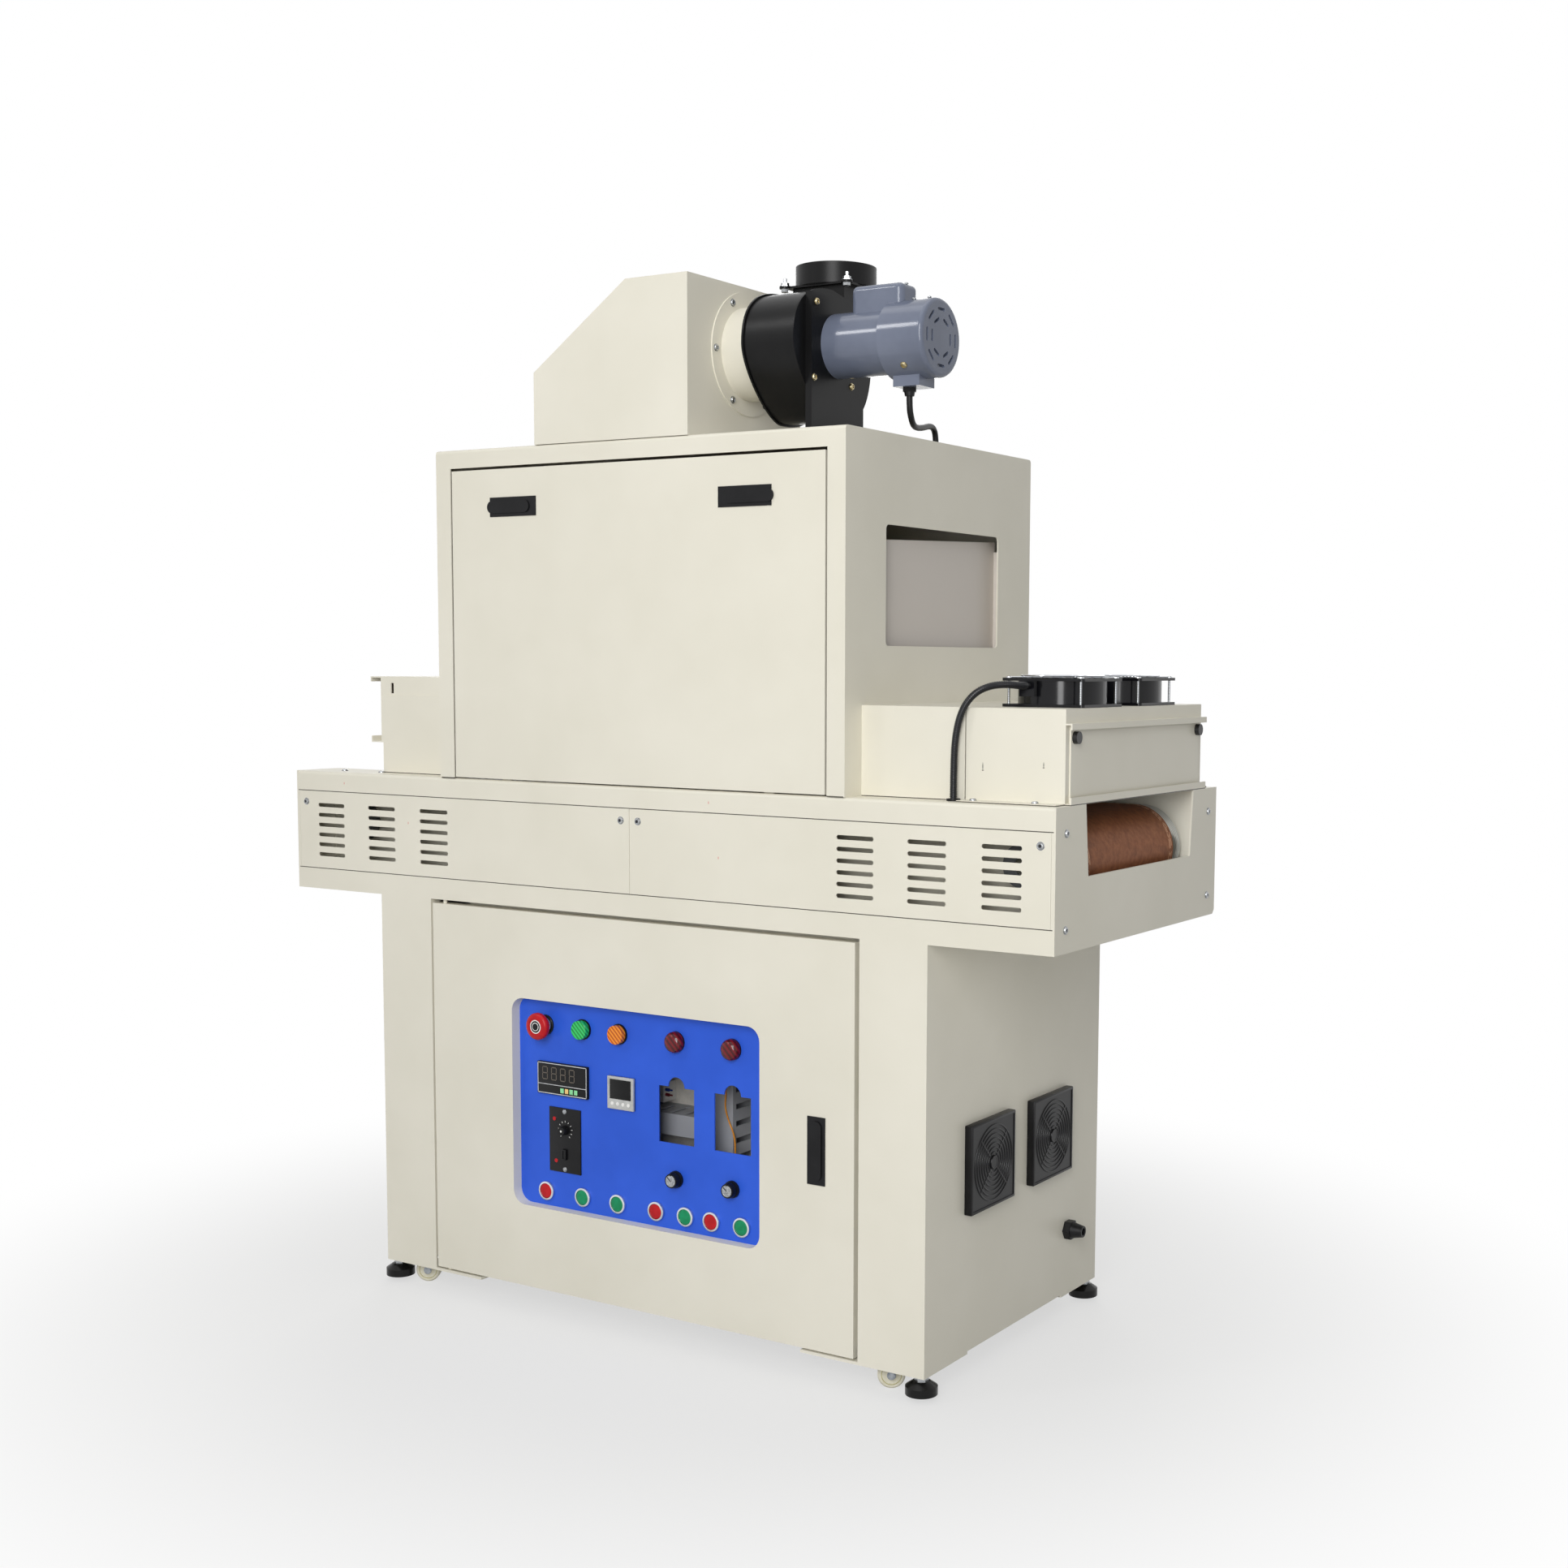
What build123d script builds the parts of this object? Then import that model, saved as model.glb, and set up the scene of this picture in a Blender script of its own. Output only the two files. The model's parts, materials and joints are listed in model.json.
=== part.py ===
from build123d import *
from math import cos, pi, radians, sin, tan
import os

# UV conveyor dryer with a base cabinet, a belt conveyor, a lamp hood and an exhaust blower.
# Millimetres. +X points to the outlet end, -Y to the door side and +Z up. The floor is Z 0.

# Overall sizes
machine_depth = 515
frame_length = 1352
frame_height = 186
cabinet_width = 985
cabinet_height = 576
sheet_bottom = 37
hood_width = 727
hood_height = 485

half_depth = machine_depth / 2
frame_bottom = sheet_bottom + cabinet_height
frame_top = frame_bottom + frame_height
cabinet_half = cabinet_width / 2
hood_half = hood_width / 2
hood_top = frame_top + hood_height

# Sheet thicknesses and gaps
frame_sheet = 3
thin_sheet = 2
fold_radius = 5
fit_gap = 0.3
running_gap = 0.05

# Frame
end_plate = 3
casing_half = frame_length / 2 - end_plate
strip_inner = 172
notch_top_half = 173
notch_bottom_half = 164
notch_depth = 93.5
end_plate_chamfer = 6
cover_length = 669.6
cover_height = 122
cover_bottom = frame_bottom + 33
cover_thickness = 1.5
cover_seam = 0.8
slot_length = 58
slot_height = 6
slot_rows = 6
slot_columns = 3
slot_pitch = 15.6
slot_column_pitch = 110
slot_centre_x = 490
slot_centre_z = frame_bottom + 94
window_inner_x = 25
window_outer_x = 640
window_margin = 12
rail_y = 180

# Belt and drums
drum_radius = 59
drum_half_length = 167
drum_x = 600
drum_z = frame_bottom + 104
drum_end_recess = 5
drum_rim = 6
belt_half_width = 140
belt_thickness = 1.2
shaft_radius = 12.5
bearing_radius = 30
bearing_depth = 16

# Cabinet
post_inner_x = 388
post_return = 20
floor_height = 54
floor_front = 220
plate_length = 198
plate_width = 116
plate_thickness = 4
mounting_plate_y = -120
duct_depth = 60
duct_slot_pitch = 25
duct_slot_width = 8

# Door
door_left = -384
door_right = 381
door_bottom = sheet_bottom + 3
door_top = frame_bottom - 6
door_depth = 19
door_stop_gap = 5
door_stop_y = door_depth + door_stop_gap - half_depth
door_stop_left = -330
door_stop_lap = 10
hinge_x = -364
hinge_y = -251
hinge_pin_radius = 3
hinge_pin_length = 13
door_window_width = 452
door_window_height = 312.5
door_window_z = 320.75
door_window_radius = 21
panel_setback = 17

# Feet and casters
foot_x = 480
foot_y = 243
foot_lift = 8
foot_radius = 22
foot_band = 11
foot_height = 18.5
nut_height = 6.5
nut_flat = 8.5
stud_radius = 5
caster_x = 429
caster_y = 221
caster_trail = 8
caster_yaw = 31
wheel_radius = 19
wheel_half_width = 8
hub_half_width = 9
axle_radius = 3
leg_inner = 9.5
leg_thickness = 2
crown_bottom = 45.5
crown_thickness = 2.5
kingpin_radius = 4
fork_top_half = 8
fork_foot_half = 5
axle_eye = 6
axle_nut_flat = 4.5
axle_nut = 2.5
tread_chamfer = 2
hub_radius = 7
pin_head = 2

# Hood
hood_opening_half = hood_half - 28.5
hood_opening_top = frame_top + 458
hood_panel_half = hood_opening_half - 3
hood_panel_top = frame_top + 454
hood_panel_lift = 2
hood_panel_depth = 18
side_window_half = 157
side_window_bottom = frame_top + 200
side_window_top = frame_top + 363
side_window_radius = 7
baffle_gap = 14
passage_half = 200
passage_height = 106
latch_z = frame_top + 399

# Light tunnels
tunnel_half = 216
tunnel_height = 121
tunnel_left = -526
tunnel_seam = 522
cover_end = 667
cover_flange = 241
shroud_lift = 47
shroud_height = 103
shroud_left = -532
lip_reach = 9
inlet_lip_reach = 22
lip_fold = 8
shelf_inset = 6
jamb_width = 22
shutter_half = 195
shutter_margin = 10
knob_drop = 18
cover_lip_drop = 18
knob_depth = 7
cover_joint = 1.5
knob_radius = 8

# Fans
fan_size = 120
fan_height = 38
fan_x = 597
fan_y = 88
fan_bore = 57
fan_flange = 4
fan_hub = 22
guard_wire = 1.8
guard_pitch = 14

# Exhaust
box_left = -170
box_right = 106
box_rear = 14
box_height = 218
slope_x = -1.5
slope_height = 101.6
blower_y = -118
blower_z = hood_top + 125
collar_radius = 65
collar_flange_radius = 86
scroll_left = 164
scroll_right = 250
scroll_top = 75
scroll_front = 93
scroll_bottom = 100
scroll_rear = 98
neck_rise = 55
neck_front = -89
neck_rear = -3
outlet_y = -44
outlet_x = 207
outlet_radius = 57.5
outlet_height = 29
flange_z = hood_top + 216
bracket_right = 260
motor_radius = 44
motor_end = 354
bell_radius = 52.5
bell_end = 424


def span_block(x_span, y_span, z_span, mode=Mode.ADD):
    """Adds or cuts a straight block that fills three (low, high) spans."""
    spans = (x_span, y_span, z_span)
    centre = tuple(sum(span) / 2 for span in spans)
    size = [abs(high - low) for low, high in spans]
    with Locations(centre):
        Box(*size, mode=mode)


def on_side(side, near, far):
    """The (low, high) span between two distances from the centre plane, on one side of it."""
    return tuple(sorted((side * near, side * far)))


def frame_wall(side):
    """Long wall of the frame with its folded top strip; side is -1 at the front and 1 at the rear."""
    outside = side * half_depth
    inside = side * (half_depth - frame_sheet)
    lip = side * strip_inner
    underside = frame_top - frame_sheet
    with BuildSketch(Plane.YZ.offset(-casing_half)) as wall:
        with BuildLine():
            Polyline(
                (outside, frame_bottom),
                (outside, frame_top),
                (lip, frame_top),
                (lip, underside),
                (inside, underside),
                (inside, frame_bottom),
                close=True,
            )
        make_face()
        rear = side > 0
        fillet(wall.vertices().group_by(Axis.Y)[-1].sort_by(Axis.X, reverse=rear)[0], fold_radius)
        inner_corner = wall.vertices().group_by(Axis.Y)[-2].sort_by(Axis.X, reverse=rear)[0]
        fillet(inner_corner, fold_radius - frame_sheet)
    extrude(wall.sketch, amount=2 * casing_half)


os.makedirs("parts", exist_ok=True)

# Front casing: frame wall, recess and windows for the slotted covers, and the two cabinet posts

with BuildPart() as front_casing:
    frame_wall(-1)
    for side in (-1, 1):
        post = on_side(side, post_inner_x, cabinet_half)
        span_block(post, (-half_depth, frame_sheet - half_depth), (sheet_bottom, frame_bottom))
        fold = on_side(side, post_inner_x, post_inner_x + frame_sheet)
        fold_y = (frame_sheet - half_depth, post_return - half_depth)
        span_block(fold, fold_y, (floor_height + thin_sheet, frame_bottom))
    with BuildSketch(Plane.XZ.offset(half_depth)):
        with Locations((0, cover_bottom + cover_height / 2)):
            Rectangle(2 * cover_length + cover_seam + 2 * fit_gap, cover_height + 2 * fit_gap)
    extrude(amount=-cover_thickness, mode=Mode.SUBTRACT)
    for side in (-1, 1):
        window = on_side(side, window_inner_x, window_outer_x)
        window_z = (cover_bottom + window_margin, cover_bottom + cover_height - window_margin)
        span_block(window, (-half_depth, frame_sheet - half_depth), window_z, mode=Mode.SUBTRACT)
front_casing.part.label = "front_casing"
export_step(front_casing.part, "parts/front_casing.step")

# Rear casing: the same wall with a closed back down to the cabinet's lower edge

with BuildPart() as rear_casing:
    frame_wall(1)
    back = (half_depth - frame_sheet, half_depth)
    span_block((-cabinet_half, cabinet_half), back, (sheet_bottom, frame_bottom))
rear_casing.part.label = "rear_casing"
export_step(rear_casing.part, "parts/rear_casing.step")

# Bottom sheet of the frame with the door's upper hinge pin, and the stop strip welded under it

with BuildPart() as frame_sheet_floor:
    depth = (frame_sheet - half_depth, half_depth - frame_sheet)
    span_block((-casing_half, casing_half), depth, (frame_bottom, frame_bottom + frame_sheet))
    with BuildSketch(Plane.XY.offset(frame_bottom - hinge_pin_length)):
        with Locations((hinge_x, hinge_y)):
            Circle(hinge_pin_radius)
    extrude(amount=hinge_pin_length)

with BuildPart() as door_stop:
    stop_y = (door_stop_y, door_stop_y + thin_sheet)
    span_block((door_stop_left, door_right), stop_y, (door_top - door_stop_lap, frame_bottom))

frame_floor = Compound(children=[frame_sheet_floor.part, door_stop.part])
frame_floor.label = "frame_floor"
export_step(frame_floor, "parts/frame_floor.step")

# End plates with the notch that lets the belt and the goods through

with BuildPart() as end_plates:
    for side in (-1, 1):
        with BuildSketch(Plane.YZ.offset(side * casing_half)) as outline:
            with Locations((0, frame_bottom + frame_height / 2)):
                Rectangle(machine_depth, frame_height)
            chamfer(outline.vertices().group_by(Axis.Y)[0].sort_by(Axis.X)[-1], end_plate_chamfer)
            with BuildLine():
                Polyline(
                    (-notch_top_half, frame_top),
                    (notch_top_half, frame_top),
                    (notch_bottom_half, frame_top - notch_depth),
                    (-notch_bottom_half, frame_top - notch_depth),
                    close=True,
                )
            make_face(mode=Mode.SUBTRACT)
        extrude(amount=side * end_plate)
end_plates.part.label = "end_plates"
export_step(end_plates.part, "parts/end_plates.step")

# Slotted front covers, two sheets that meet in the middle

with BuildPart() as front_covers:
    with BuildSketch(Plane.XZ.offset(half_depth)):
        for side in (-1, 1):
            with Locations((side * (cover_length + cover_seam) / 2, cover_bottom + cover_height / 2)):
                Rectangle(cover_length, cover_height)
            with Locations((side * slot_centre_x, slot_centre_z)):
                with GridLocations(slot_column_pitch, slot_pitch, slot_columns, slot_rows):
                    SlotOverall(slot_length, slot_height, mode=Mode.SUBTRACT)
    extrude(amount=-cover_thickness)
front_covers.part.label = "front_covers"
export_step(front_covers.part, "parts/front_covers.step")

# Side rails that carry the drum bearings, hung under the top strips

with BuildPart() as side_rails:
    rail_bottom = frame_bottom + 37
    for side in (-1, 1):
        rail = on_side(side, rail_y, rail_y + frame_sheet)
        span_block((-casing_half, casing_half), rail, (rail_bottom, frame_top - frame_sheet))
        with BuildSketch(Plane.XZ.offset(-side * (rail_y + frame_sheet))):
            with Locations((-drum_x, drum_z), (drum_x, drum_z)):
                Circle(bearing_radius)
        extrude(amount=-side * bearing_depth)
        with BuildSketch(Plane.XZ.offset(-side * rail_y)):
            with Locations((-drum_x, drum_z), (drum_x, drum_z)):
                Circle(shaft_radius + running_gap)
        extrude(amount=-side * (frame_sheet + bearing_depth), mode=Mode.SUBTRACT)
side_rails.part.label = "side_rails"
export_step(side_rails.part, "parts/side_rails.step")


def drum(x):
    """Chromed steel tube with sunk end discs on a through shaft along Y."""
    with BuildPart() as roller:
        with BuildSketch(Plane.XZ.offset(drum_half_length)):
            with Locations((x, drum_z)):
                Circle(drum_radius)
        extrude(amount=-2 * drum_half_length)
        for side in (-1, 1):
            with BuildSketch(Plane.XZ.offset(-side * drum_half_length)):
                with Locations((x, drum_z)):
                    Circle(drum_radius - drum_rim)
            extrude(amount=side * drum_end_recess, mode=Mode.SUBTRACT)
        shaft_half = rail_y + frame_sheet + bearing_depth
        with BuildSketch(Plane.XZ.offset(shaft_half)):
            with Locations((x, drum_z)):
                Circle(shaft_radius)
        extrude(amount=-2 * shaft_half)
    return roller.part


# Drums and the belt around them; the right drum is the driven one

drive_drum = drum(drum_x)
drive_drum.label = "drive_drum"
export_step(drive_drum, "parts/drive_drum.step")

idler_drum = drum(-drum_x)
idler_drum.label = "idler_drum"
export_step(idler_drum, "parts/idler_drum.step")

with BuildPart() as belt:
    belt_inside = drum_radius + fit_gap
    with BuildSketch(Plane.XZ.offset(belt_half_width)):
        with Locations((0, drum_z)):
            SlotCenterToCenter(2 * drum_x, 2 * (belt_inside + belt_thickness))
            SlotCenterToCenter(2 * drum_x, 2 * belt_inside, mode=Mode.SUBTRACT)
    extrude(amount=-2 * belt_half_width)
belt.part.label = "belt"
export_step(belt.part, "parts/belt.step")

# Cabinet side panels; the right one has the two filter openings and the gland hole

filter_size = 124
filter_depth = 12.3
filter_z = 292.5
filter_ys = (-93, 87.5)
filter_opening = 54
gland_y = 158
gland_z = 134
gland_hole = 10

with BuildPart() as side_panels:
    panel_y = (frame_sheet - half_depth, half_depth - frame_sheet)
    for side in (-1, 1):
        wall = on_side(side, cabinet_half - frame_sheet, cabinet_half)
        span_block(wall, panel_y, (sheet_bottom, frame_bottom))
    with BuildSketch(Plane.YZ.offset(cabinet_half)):
        with Locations(*[(y, filter_z) for y in filter_ys]):
            Circle(filter_opening)
        with Locations((gland_y, gland_z)):
            Circle(gland_hole + fit_gap)
    extrude(amount=-frame_sheet, mode=Mode.SUBTRACT)
side_panels.part.label = "side_panels"
export_step(side_panels.part, "parts/side_panels.step")

# Filter guards: square plastic frames with concentric rings on a cross

ring_pitch = 10
ring_width = 3
ring_depth = 4
ring_count = 4
guard_hub = 11
guard_cross = 4
plastic_corner = 5

with BuildPart() as filter_guards:
    for y in filter_ys:
        with BuildSketch(Plane.YZ.offset(cabinet_half)):
            with Locations((y, filter_z)):
                RectangleRounded(filter_size, filter_size, plastic_corner)
                Circle(filter_opening, mode=Mode.SUBTRACT)
        extrude(amount=filter_depth)
        with BuildSketch(Plane.YZ.offset(cabinet_half + filter_depth - ring_depth)):
            with Locations((y, filter_z)):
                for ring in range(ring_count, 0, -1):
                    Circle(guard_hub + ring * ring_pitch)
                    Circle(guard_hub + ring * ring_pitch - ring_width, mode=Mode.SUBTRACT)
                Circle(guard_hub)
                cross_length = 2 * filter_opening + thin_sheet
                Rectangle(cross_length, guard_cross)
                Rectangle(guard_cross, cross_length)
        extrude(amount=ring_depth)
filter_guards.part.label = "filter_guards"
export_step(filter_guards.part, "parts/filter_guards.step")

# Cable gland of the mains inlet: hexagon, dome nut and thread through the panel

gland_flat = 13
gland_hex = 11
gland_dome = 17
gland_dome_taper = 12
gland_thread = 8
gland_bore = 5.5

with BuildPart() as cable_gland:
    with BuildSketch(Plane.YZ.offset(cabinet_half)):
        with Locations((gland_y, gland_z)):
            RegularPolygon(gland_flat, 6, major_radius=False)
    extrude(amount=gland_hex)
    with BuildSketch(Plane.YZ.offset(cabinet_half + gland_hex)):
        with Locations((gland_y, gland_z)):
            Circle(gland_flat - 1)
    extrude(amount=gland_dome, taper=gland_dome_taper)
    with BuildSketch(Plane.YZ.offset(cabinet_half)):
        with Locations((gland_y, gland_z)):
            Circle(gland_hole)
    extrude(amount=-frame_sheet - gland_thread)
    with BuildSketch(Plane.YZ.offset(cabinet_half + gland_hex + gland_dome)):
        with Locations((gland_y, gland_z)):
            Circle(gland_bore)
    extrude(amount=-gland_dome, mode=Mode.SUBTRACT)
cable_gland.part.label = "cable_gland"
export_step(cable_gland.part, "parts/cable_gland.step")

# Cabinet floor with the fixed caster plates, their bearing bosses and kingpins

corners = [(side, end) for side in (-1, 1) for end in (-1, 1)]
plate_bottom = sheet_bottom - plate_thickness
caster_slot_half = 28
caster_plate = 40
caster_plate_thickness = 2.5
bearing_boss = 12
pin_head_radius = 7

with BuildPart() as cabinet_floor:
    inside_x = cabinet_half - frame_sheet
    inside_y = half_depth - frame_sheet
    floor_z = (floor_height, floor_height + thin_sheet)
    span_block((-inside_x, inside_x), (-inside_y, inside_y), floor_z)
    door_space = post_inner_x + frame_sheet
    span_block((-door_space, door_space), (-inside_y, -floor_front), floor_z, mode=Mode.SUBTRACT)
    for side, end in corners:
        caster_top = floor_height - caster_plate_thickness
        boss_bottom = crown_bottom + crown_thickness + fit_gap
        with BuildSketch(Plane.XY.offset(caster_top)):
            with Locations((side * caster_x, end * caster_y)):
                RectangleRounded(caster_plate, caster_plate, 4)
        extrude(amount=caster_plate_thickness)
        with BuildSketch(Plane.XY.offset(boss_bottom)):
            with Locations((side * caster_x, end * caster_y)):
                Circle(bearing_boss)
        extrude(amount=caster_top - boss_bottom)
        with BuildSketch(Plane.XY.offset(crown_bottom - fit_gap)):
            with Locations((side * caster_x, end * caster_y)):
                Circle(kingpin_radius)
        extrude(amount=boss_bottom - crown_bottom + fit_gap)
        with BuildSketch(Plane.XY.offset(crown_bottom - fit_gap)):
            with Locations((side * caster_x, end * caster_y)):
                Circle(pin_head_radius)
        extrude(amount=-pin_head)
cabinet_floor.part.label = "cabinet_floor"
export_step(cabinet_floor.part, "parts/cabinet_floor.step")

# Corner plates under the cabinet, slotted round the casters, with the door's lower hinge pin

with BuildPart() as corner_plates:
    for side, end in corners:
        plate_x = on_side(side, cabinet_half - plate_length, cabinet_half)
        plate_y = on_side(end, half_depth - plate_width, half_depth)
        span_block(plate_x, plate_y, (plate_bottom, sheet_bottom))
        slot_x = on_side(side, caster_x - caster_slot_half, caster_x + caster_slot_half)
        slot_y = on_side(end, half_depth - plate_width - 1, caster_y + caster_slot_half)
        span_block(slot_x, slot_y, (plate_bottom - 1, sheet_bottom + 1), mode=Mode.SUBTRACT)
        with BuildSketch(Plane.XY.offset(plate_bottom)):
            with Locations((side * foot_x, end * foot_y)):
                Circle(stud_radius + fit_gap)
        extrude(amount=plate_thickness, mode=Mode.SUBTRACT)
    with BuildSketch(Plane.XY.offset(sheet_bottom)):
        with Locations((hinge_x, hinge_y)):
            Circle(hinge_pin_radius)
    extrude(amount=hinge_pin_length)
corner_plates.part.label = "corner_plates"
export_step(corner_plates.part, "parts/corner_plates.step")

# Levelling feet, screwed up so that the casters carry: coned pad, stud and two nuts

with BuildPart() as levelling_feet:
    pad_top = foot_lift + foot_height
    stud_top = floor_height - 1
    for side, end in corners:
        spot = (side * foot_x, end * foot_y)
        with BuildSketch(Plane.XY.offset(foot_lift)):
            with Locations(spot):
                Circle(foot_radius)
        extrude(amount=foot_band)
        with BuildSketch(Plane.XY.offset(foot_lift + foot_band)):
            with Locations(spot):
                Circle(foot_radius)
        extrude(amount=foot_height - foot_band, taper=55)
        with BuildSketch(Plane.XY.offset(pad_top)):
            with Locations(spot):
                Circle(stud_radius)
        extrude(amount=stud_top - pad_top)
        for nut_bottom in (pad_top, sheet_bottom):
            with BuildSketch(Plane.XY.offset(nut_bottom)):
                with Locations(spot):
                    RegularPolygon(nut_flat, 6, major_radius=False, rotation=30)
            extrude(amount=min(nut_height, plate_bottom - pad_top))
levelling_feet.part.label = "levelling_feet"
export_step(levelling_feet.part, "parts/levelling_feet.step")


def caster_plane(side, end):
    """Upright plane through a swivel axis and square to the wheel's axle, x along the rolling direction."""
    turn = radians(caster_yaw)
    return Plane(
        origin=(side * caster_x, end * caster_y, 0),
        x_dir=(cos(turn), sin(turn), 0),
        z_dir=(sin(turn), -cos(turn), 0),
    )


def caster_fork(side, end):
    """Pressed fork: round crown on the kingpin, two tapered legs and the riveted axle."""
    plane = caster_plane(side, end)
    with BuildPart() as fork:
        with BuildSketch(Plane.XY.offset(crown_bottom)):
            with Locations((side * caster_x, end * caster_y)):
                Circle(leg_inner + leg_thickness + 1)
                Circle(kingpin_radius + running_gap, mode=Mode.SUBTRACT)
        extrude(amount=crown_thickness)
        for face in (-1, 1):
            with BuildSketch(plane.offset(face * leg_inner)):
                with BuildLine():
                    Polyline(
                        (-fork_top_half, crown_bottom + crown_thickness),
                        (fork_top_half, crown_bottom + crown_thickness),
                        (fork_foot_half - caster_trail, wheel_radius),
                        (-fork_foot_half - caster_trail, wheel_radius),
                        close=True,
                    )
                make_face()
                with Locations((-caster_trail, wheel_radius)):
                    Circle(axle_eye)
            extrude(amount=face * leg_thickness)
        axle_half = leg_inner + leg_thickness
        with BuildSketch(plane.offset(-axle_half)):
            with Locations((-caster_trail, wheel_radius)):
                Circle(axle_radius)
        extrude(amount=2 * axle_half)
        for face in (-1, 1):
            with BuildSketch(plane.offset(face * axle_half)):
                with Locations((-caster_trail, wheel_radius)):
                    RegularPolygon(axle_nut_flat, 6, major_radius=False)
            extrude(amount=face * axle_nut)
    return fork.part


def caster_wheel(side, end):
    """Nylon wheel with a hub that stands a little proud of its tread."""
    plane = caster_plane(side, end)
    with BuildPart() as wheel:
        with BuildSketch(plane.offset(-wheel_half_width)):
            with Locations((-caster_trail, wheel_radius)):
                Circle(wheel_radius)
        extrude(amount=2 * wheel_half_width)
        rims = wheel.edges().filter_by(GeomType.CIRCLE)
        chamfer(rims, tread_chamfer)
        with BuildSketch(plane.offset(-hub_half_width)):
            with Locations((-caster_trail, wheel_radius)):
                Circle(hub_radius)
        extrude(amount=2 * hub_half_width)
        with BuildSketch(plane.offset(-hub_half_width)):
            with Locations((-caster_trail, wheel_radius)):
                Circle(axle_radius + running_gap)
        extrude(amount=2 * hub_half_width, mode=Mode.SUBTRACT)
    return wheel.part


# Four swivel casters

for side, end in corners:
    place = ("rear" if end > 0 else "front") + ("_right" if side > 0 else "_left")
    fork = caster_fork(side, end)
    fork.label = "caster_fork_" + place
    export_step(fork, "parts/caster_fork_" + place + ".step")
    wheel = caster_wheel(side, end)
    wheel.label = "caster_wheel_" + place
    export_step(wheel, "parts/caster_wheel_" + place + ".step")

# Mounting plate across the cabinet with its slotted wiring ducts

duct_front = mounting_plate_y - duct_depth
upright_duct = (84, 124)
level_duct = (-330, 82)
level_duct_z = (283, 315)
upright_duct_z = (150, frame_bottom - 93)
duct_wall = 2
duct_slot_lip = 8
duct_slot_root = 14

with BuildPart() as mounting_plate:
    plate_y = (mounting_plate_y, mounting_plate_y + thin_sheet)
    inside_x = cabinet_half - frame_sheet
    span_block((-inside_x, inside_x), plate_y, (floor_height + thin_sheet, frame_bottom))
    duct_y = (duct_front, mounting_plate_y)
    hollow_y = (duct_front + duct_wall, mounting_plate_y - duct_wall)
    span_block(upright_duct, duct_y, upright_duct_z)
    span_block(
        (upright_duct[0] + duct_wall, upright_duct[1] - duct_wall),
        hollow_y,
        upright_duct_z,
        mode=Mode.SUBTRACT,
    )
    span_block(level_duct, duct_y, level_duct_z)
    span_block(
        level_duct,
        hollow_y,
        (level_duct_z[0] + duct_wall, level_duct_z[1] - duct_wall),
        mode=Mode.SUBTRACT,
    )
    slot_y = (duct_front + duct_slot_lip, mounting_plate_y - duct_slot_root)
    upright_count = int((upright_duct_z[1] - upright_duct_z[0]) / duct_slot_pitch)
    for step in range(upright_count):
        z = upright_duct_z[0] + (step + 0.5) * duct_slot_pitch
        slot_z = (z - duct_slot_width / 2, z + duct_slot_width / 2)
        span_block((upright_duct[0] - 1, upright_duct[1] + 1), slot_y, slot_z, mode=Mode.SUBTRACT)
    level_count = int((level_duct[1] - level_duct[0]) / duct_slot_pitch)
    for step in range(level_count):
        x = level_duct[0] + (step + 0.5) * duct_slot_pitch
        slot_x = (x - duct_slot_width / 2, x + duct_slot_width / 2)
        span_block(slot_x, slot_y, (level_duct_z[0] - 1, level_duct_z[1] + 1), mode=Mode.SUBTRACT)
mounting_plate.part.label = "mounting_plate"
export_step(mounting_plate.part, "parts/mounting_plate.step")

# Cabinet door: folded pan with a flanged window, hinge holes and the latch cut-out

latch_x = 320.5
latch_centre_z = 318
latch_width = 29
latch_height = 94
latch_plate = 1.2
handle_rise = 1.8
door_latch_body = 22
body_inset_x = 4
body_inset_z = 6
handle_inset_x = 11
handle_inset_z = 12
tongue_width = 16
tongue_length = 46
tongue_drop = 20
tongue_thickness = 2.5
panel_front = panel_setback - half_depth

with BuildPart() as cabinet_door:
    door_back = door_depth - half_depth
    span_block((door_left, door_right), (-half_depth, door_back), (door_bottom, door_top))
    span_block(
        (door_left + thin_sheet, door_right - thin_sheet),
        (thin_sheet - half_depth, door_back),
        (door_bottom + thin_sheet, door_top - thin_sheet),
        mode=Mode.SUBTRACT,
    )
    with BuildSketch(Plane.XZ.offset(half_depth)):
        with Locations((0, door_window_z)):
            outer = 2 * thin_sheet
            RectangleRounded(
                door_window_width + outer, door_window_height + outer, door_window_radius + thin_sheet
            )
    extrude(amount=-panel_setback)
    with BuildSketch(Plane.XZ.offset(half_depth)):
        with Locations((0, door_window_z)):
            RectangleRounded(door_window_width, door_window_height, door_window_radius)
        with Locations((latch_x, latch_centre_z)):
            Rectangle(latch_width - body_inset_x, latch_height - body_inset_z)
    extrude(amount=-panel_setback, mode=Mode.SUBTRACT)
    with BuildSketch(Plane.XY.offset(door_bottom)):
        with Locations((hinge_x, hinge_y)):
            Circle(hinge_pin_radius + running_gap)
    extrude(amount=door_top - door_bottom, mode=Mode.SUBTRACT)
cabinet_door.part.label = "cabinet_door"
export_step(cabinet_door.part, "parts/cabinet_door.step")

# Door latch: black swing handle, flat at the top and round at the bottom, with its cam tongue

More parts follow.
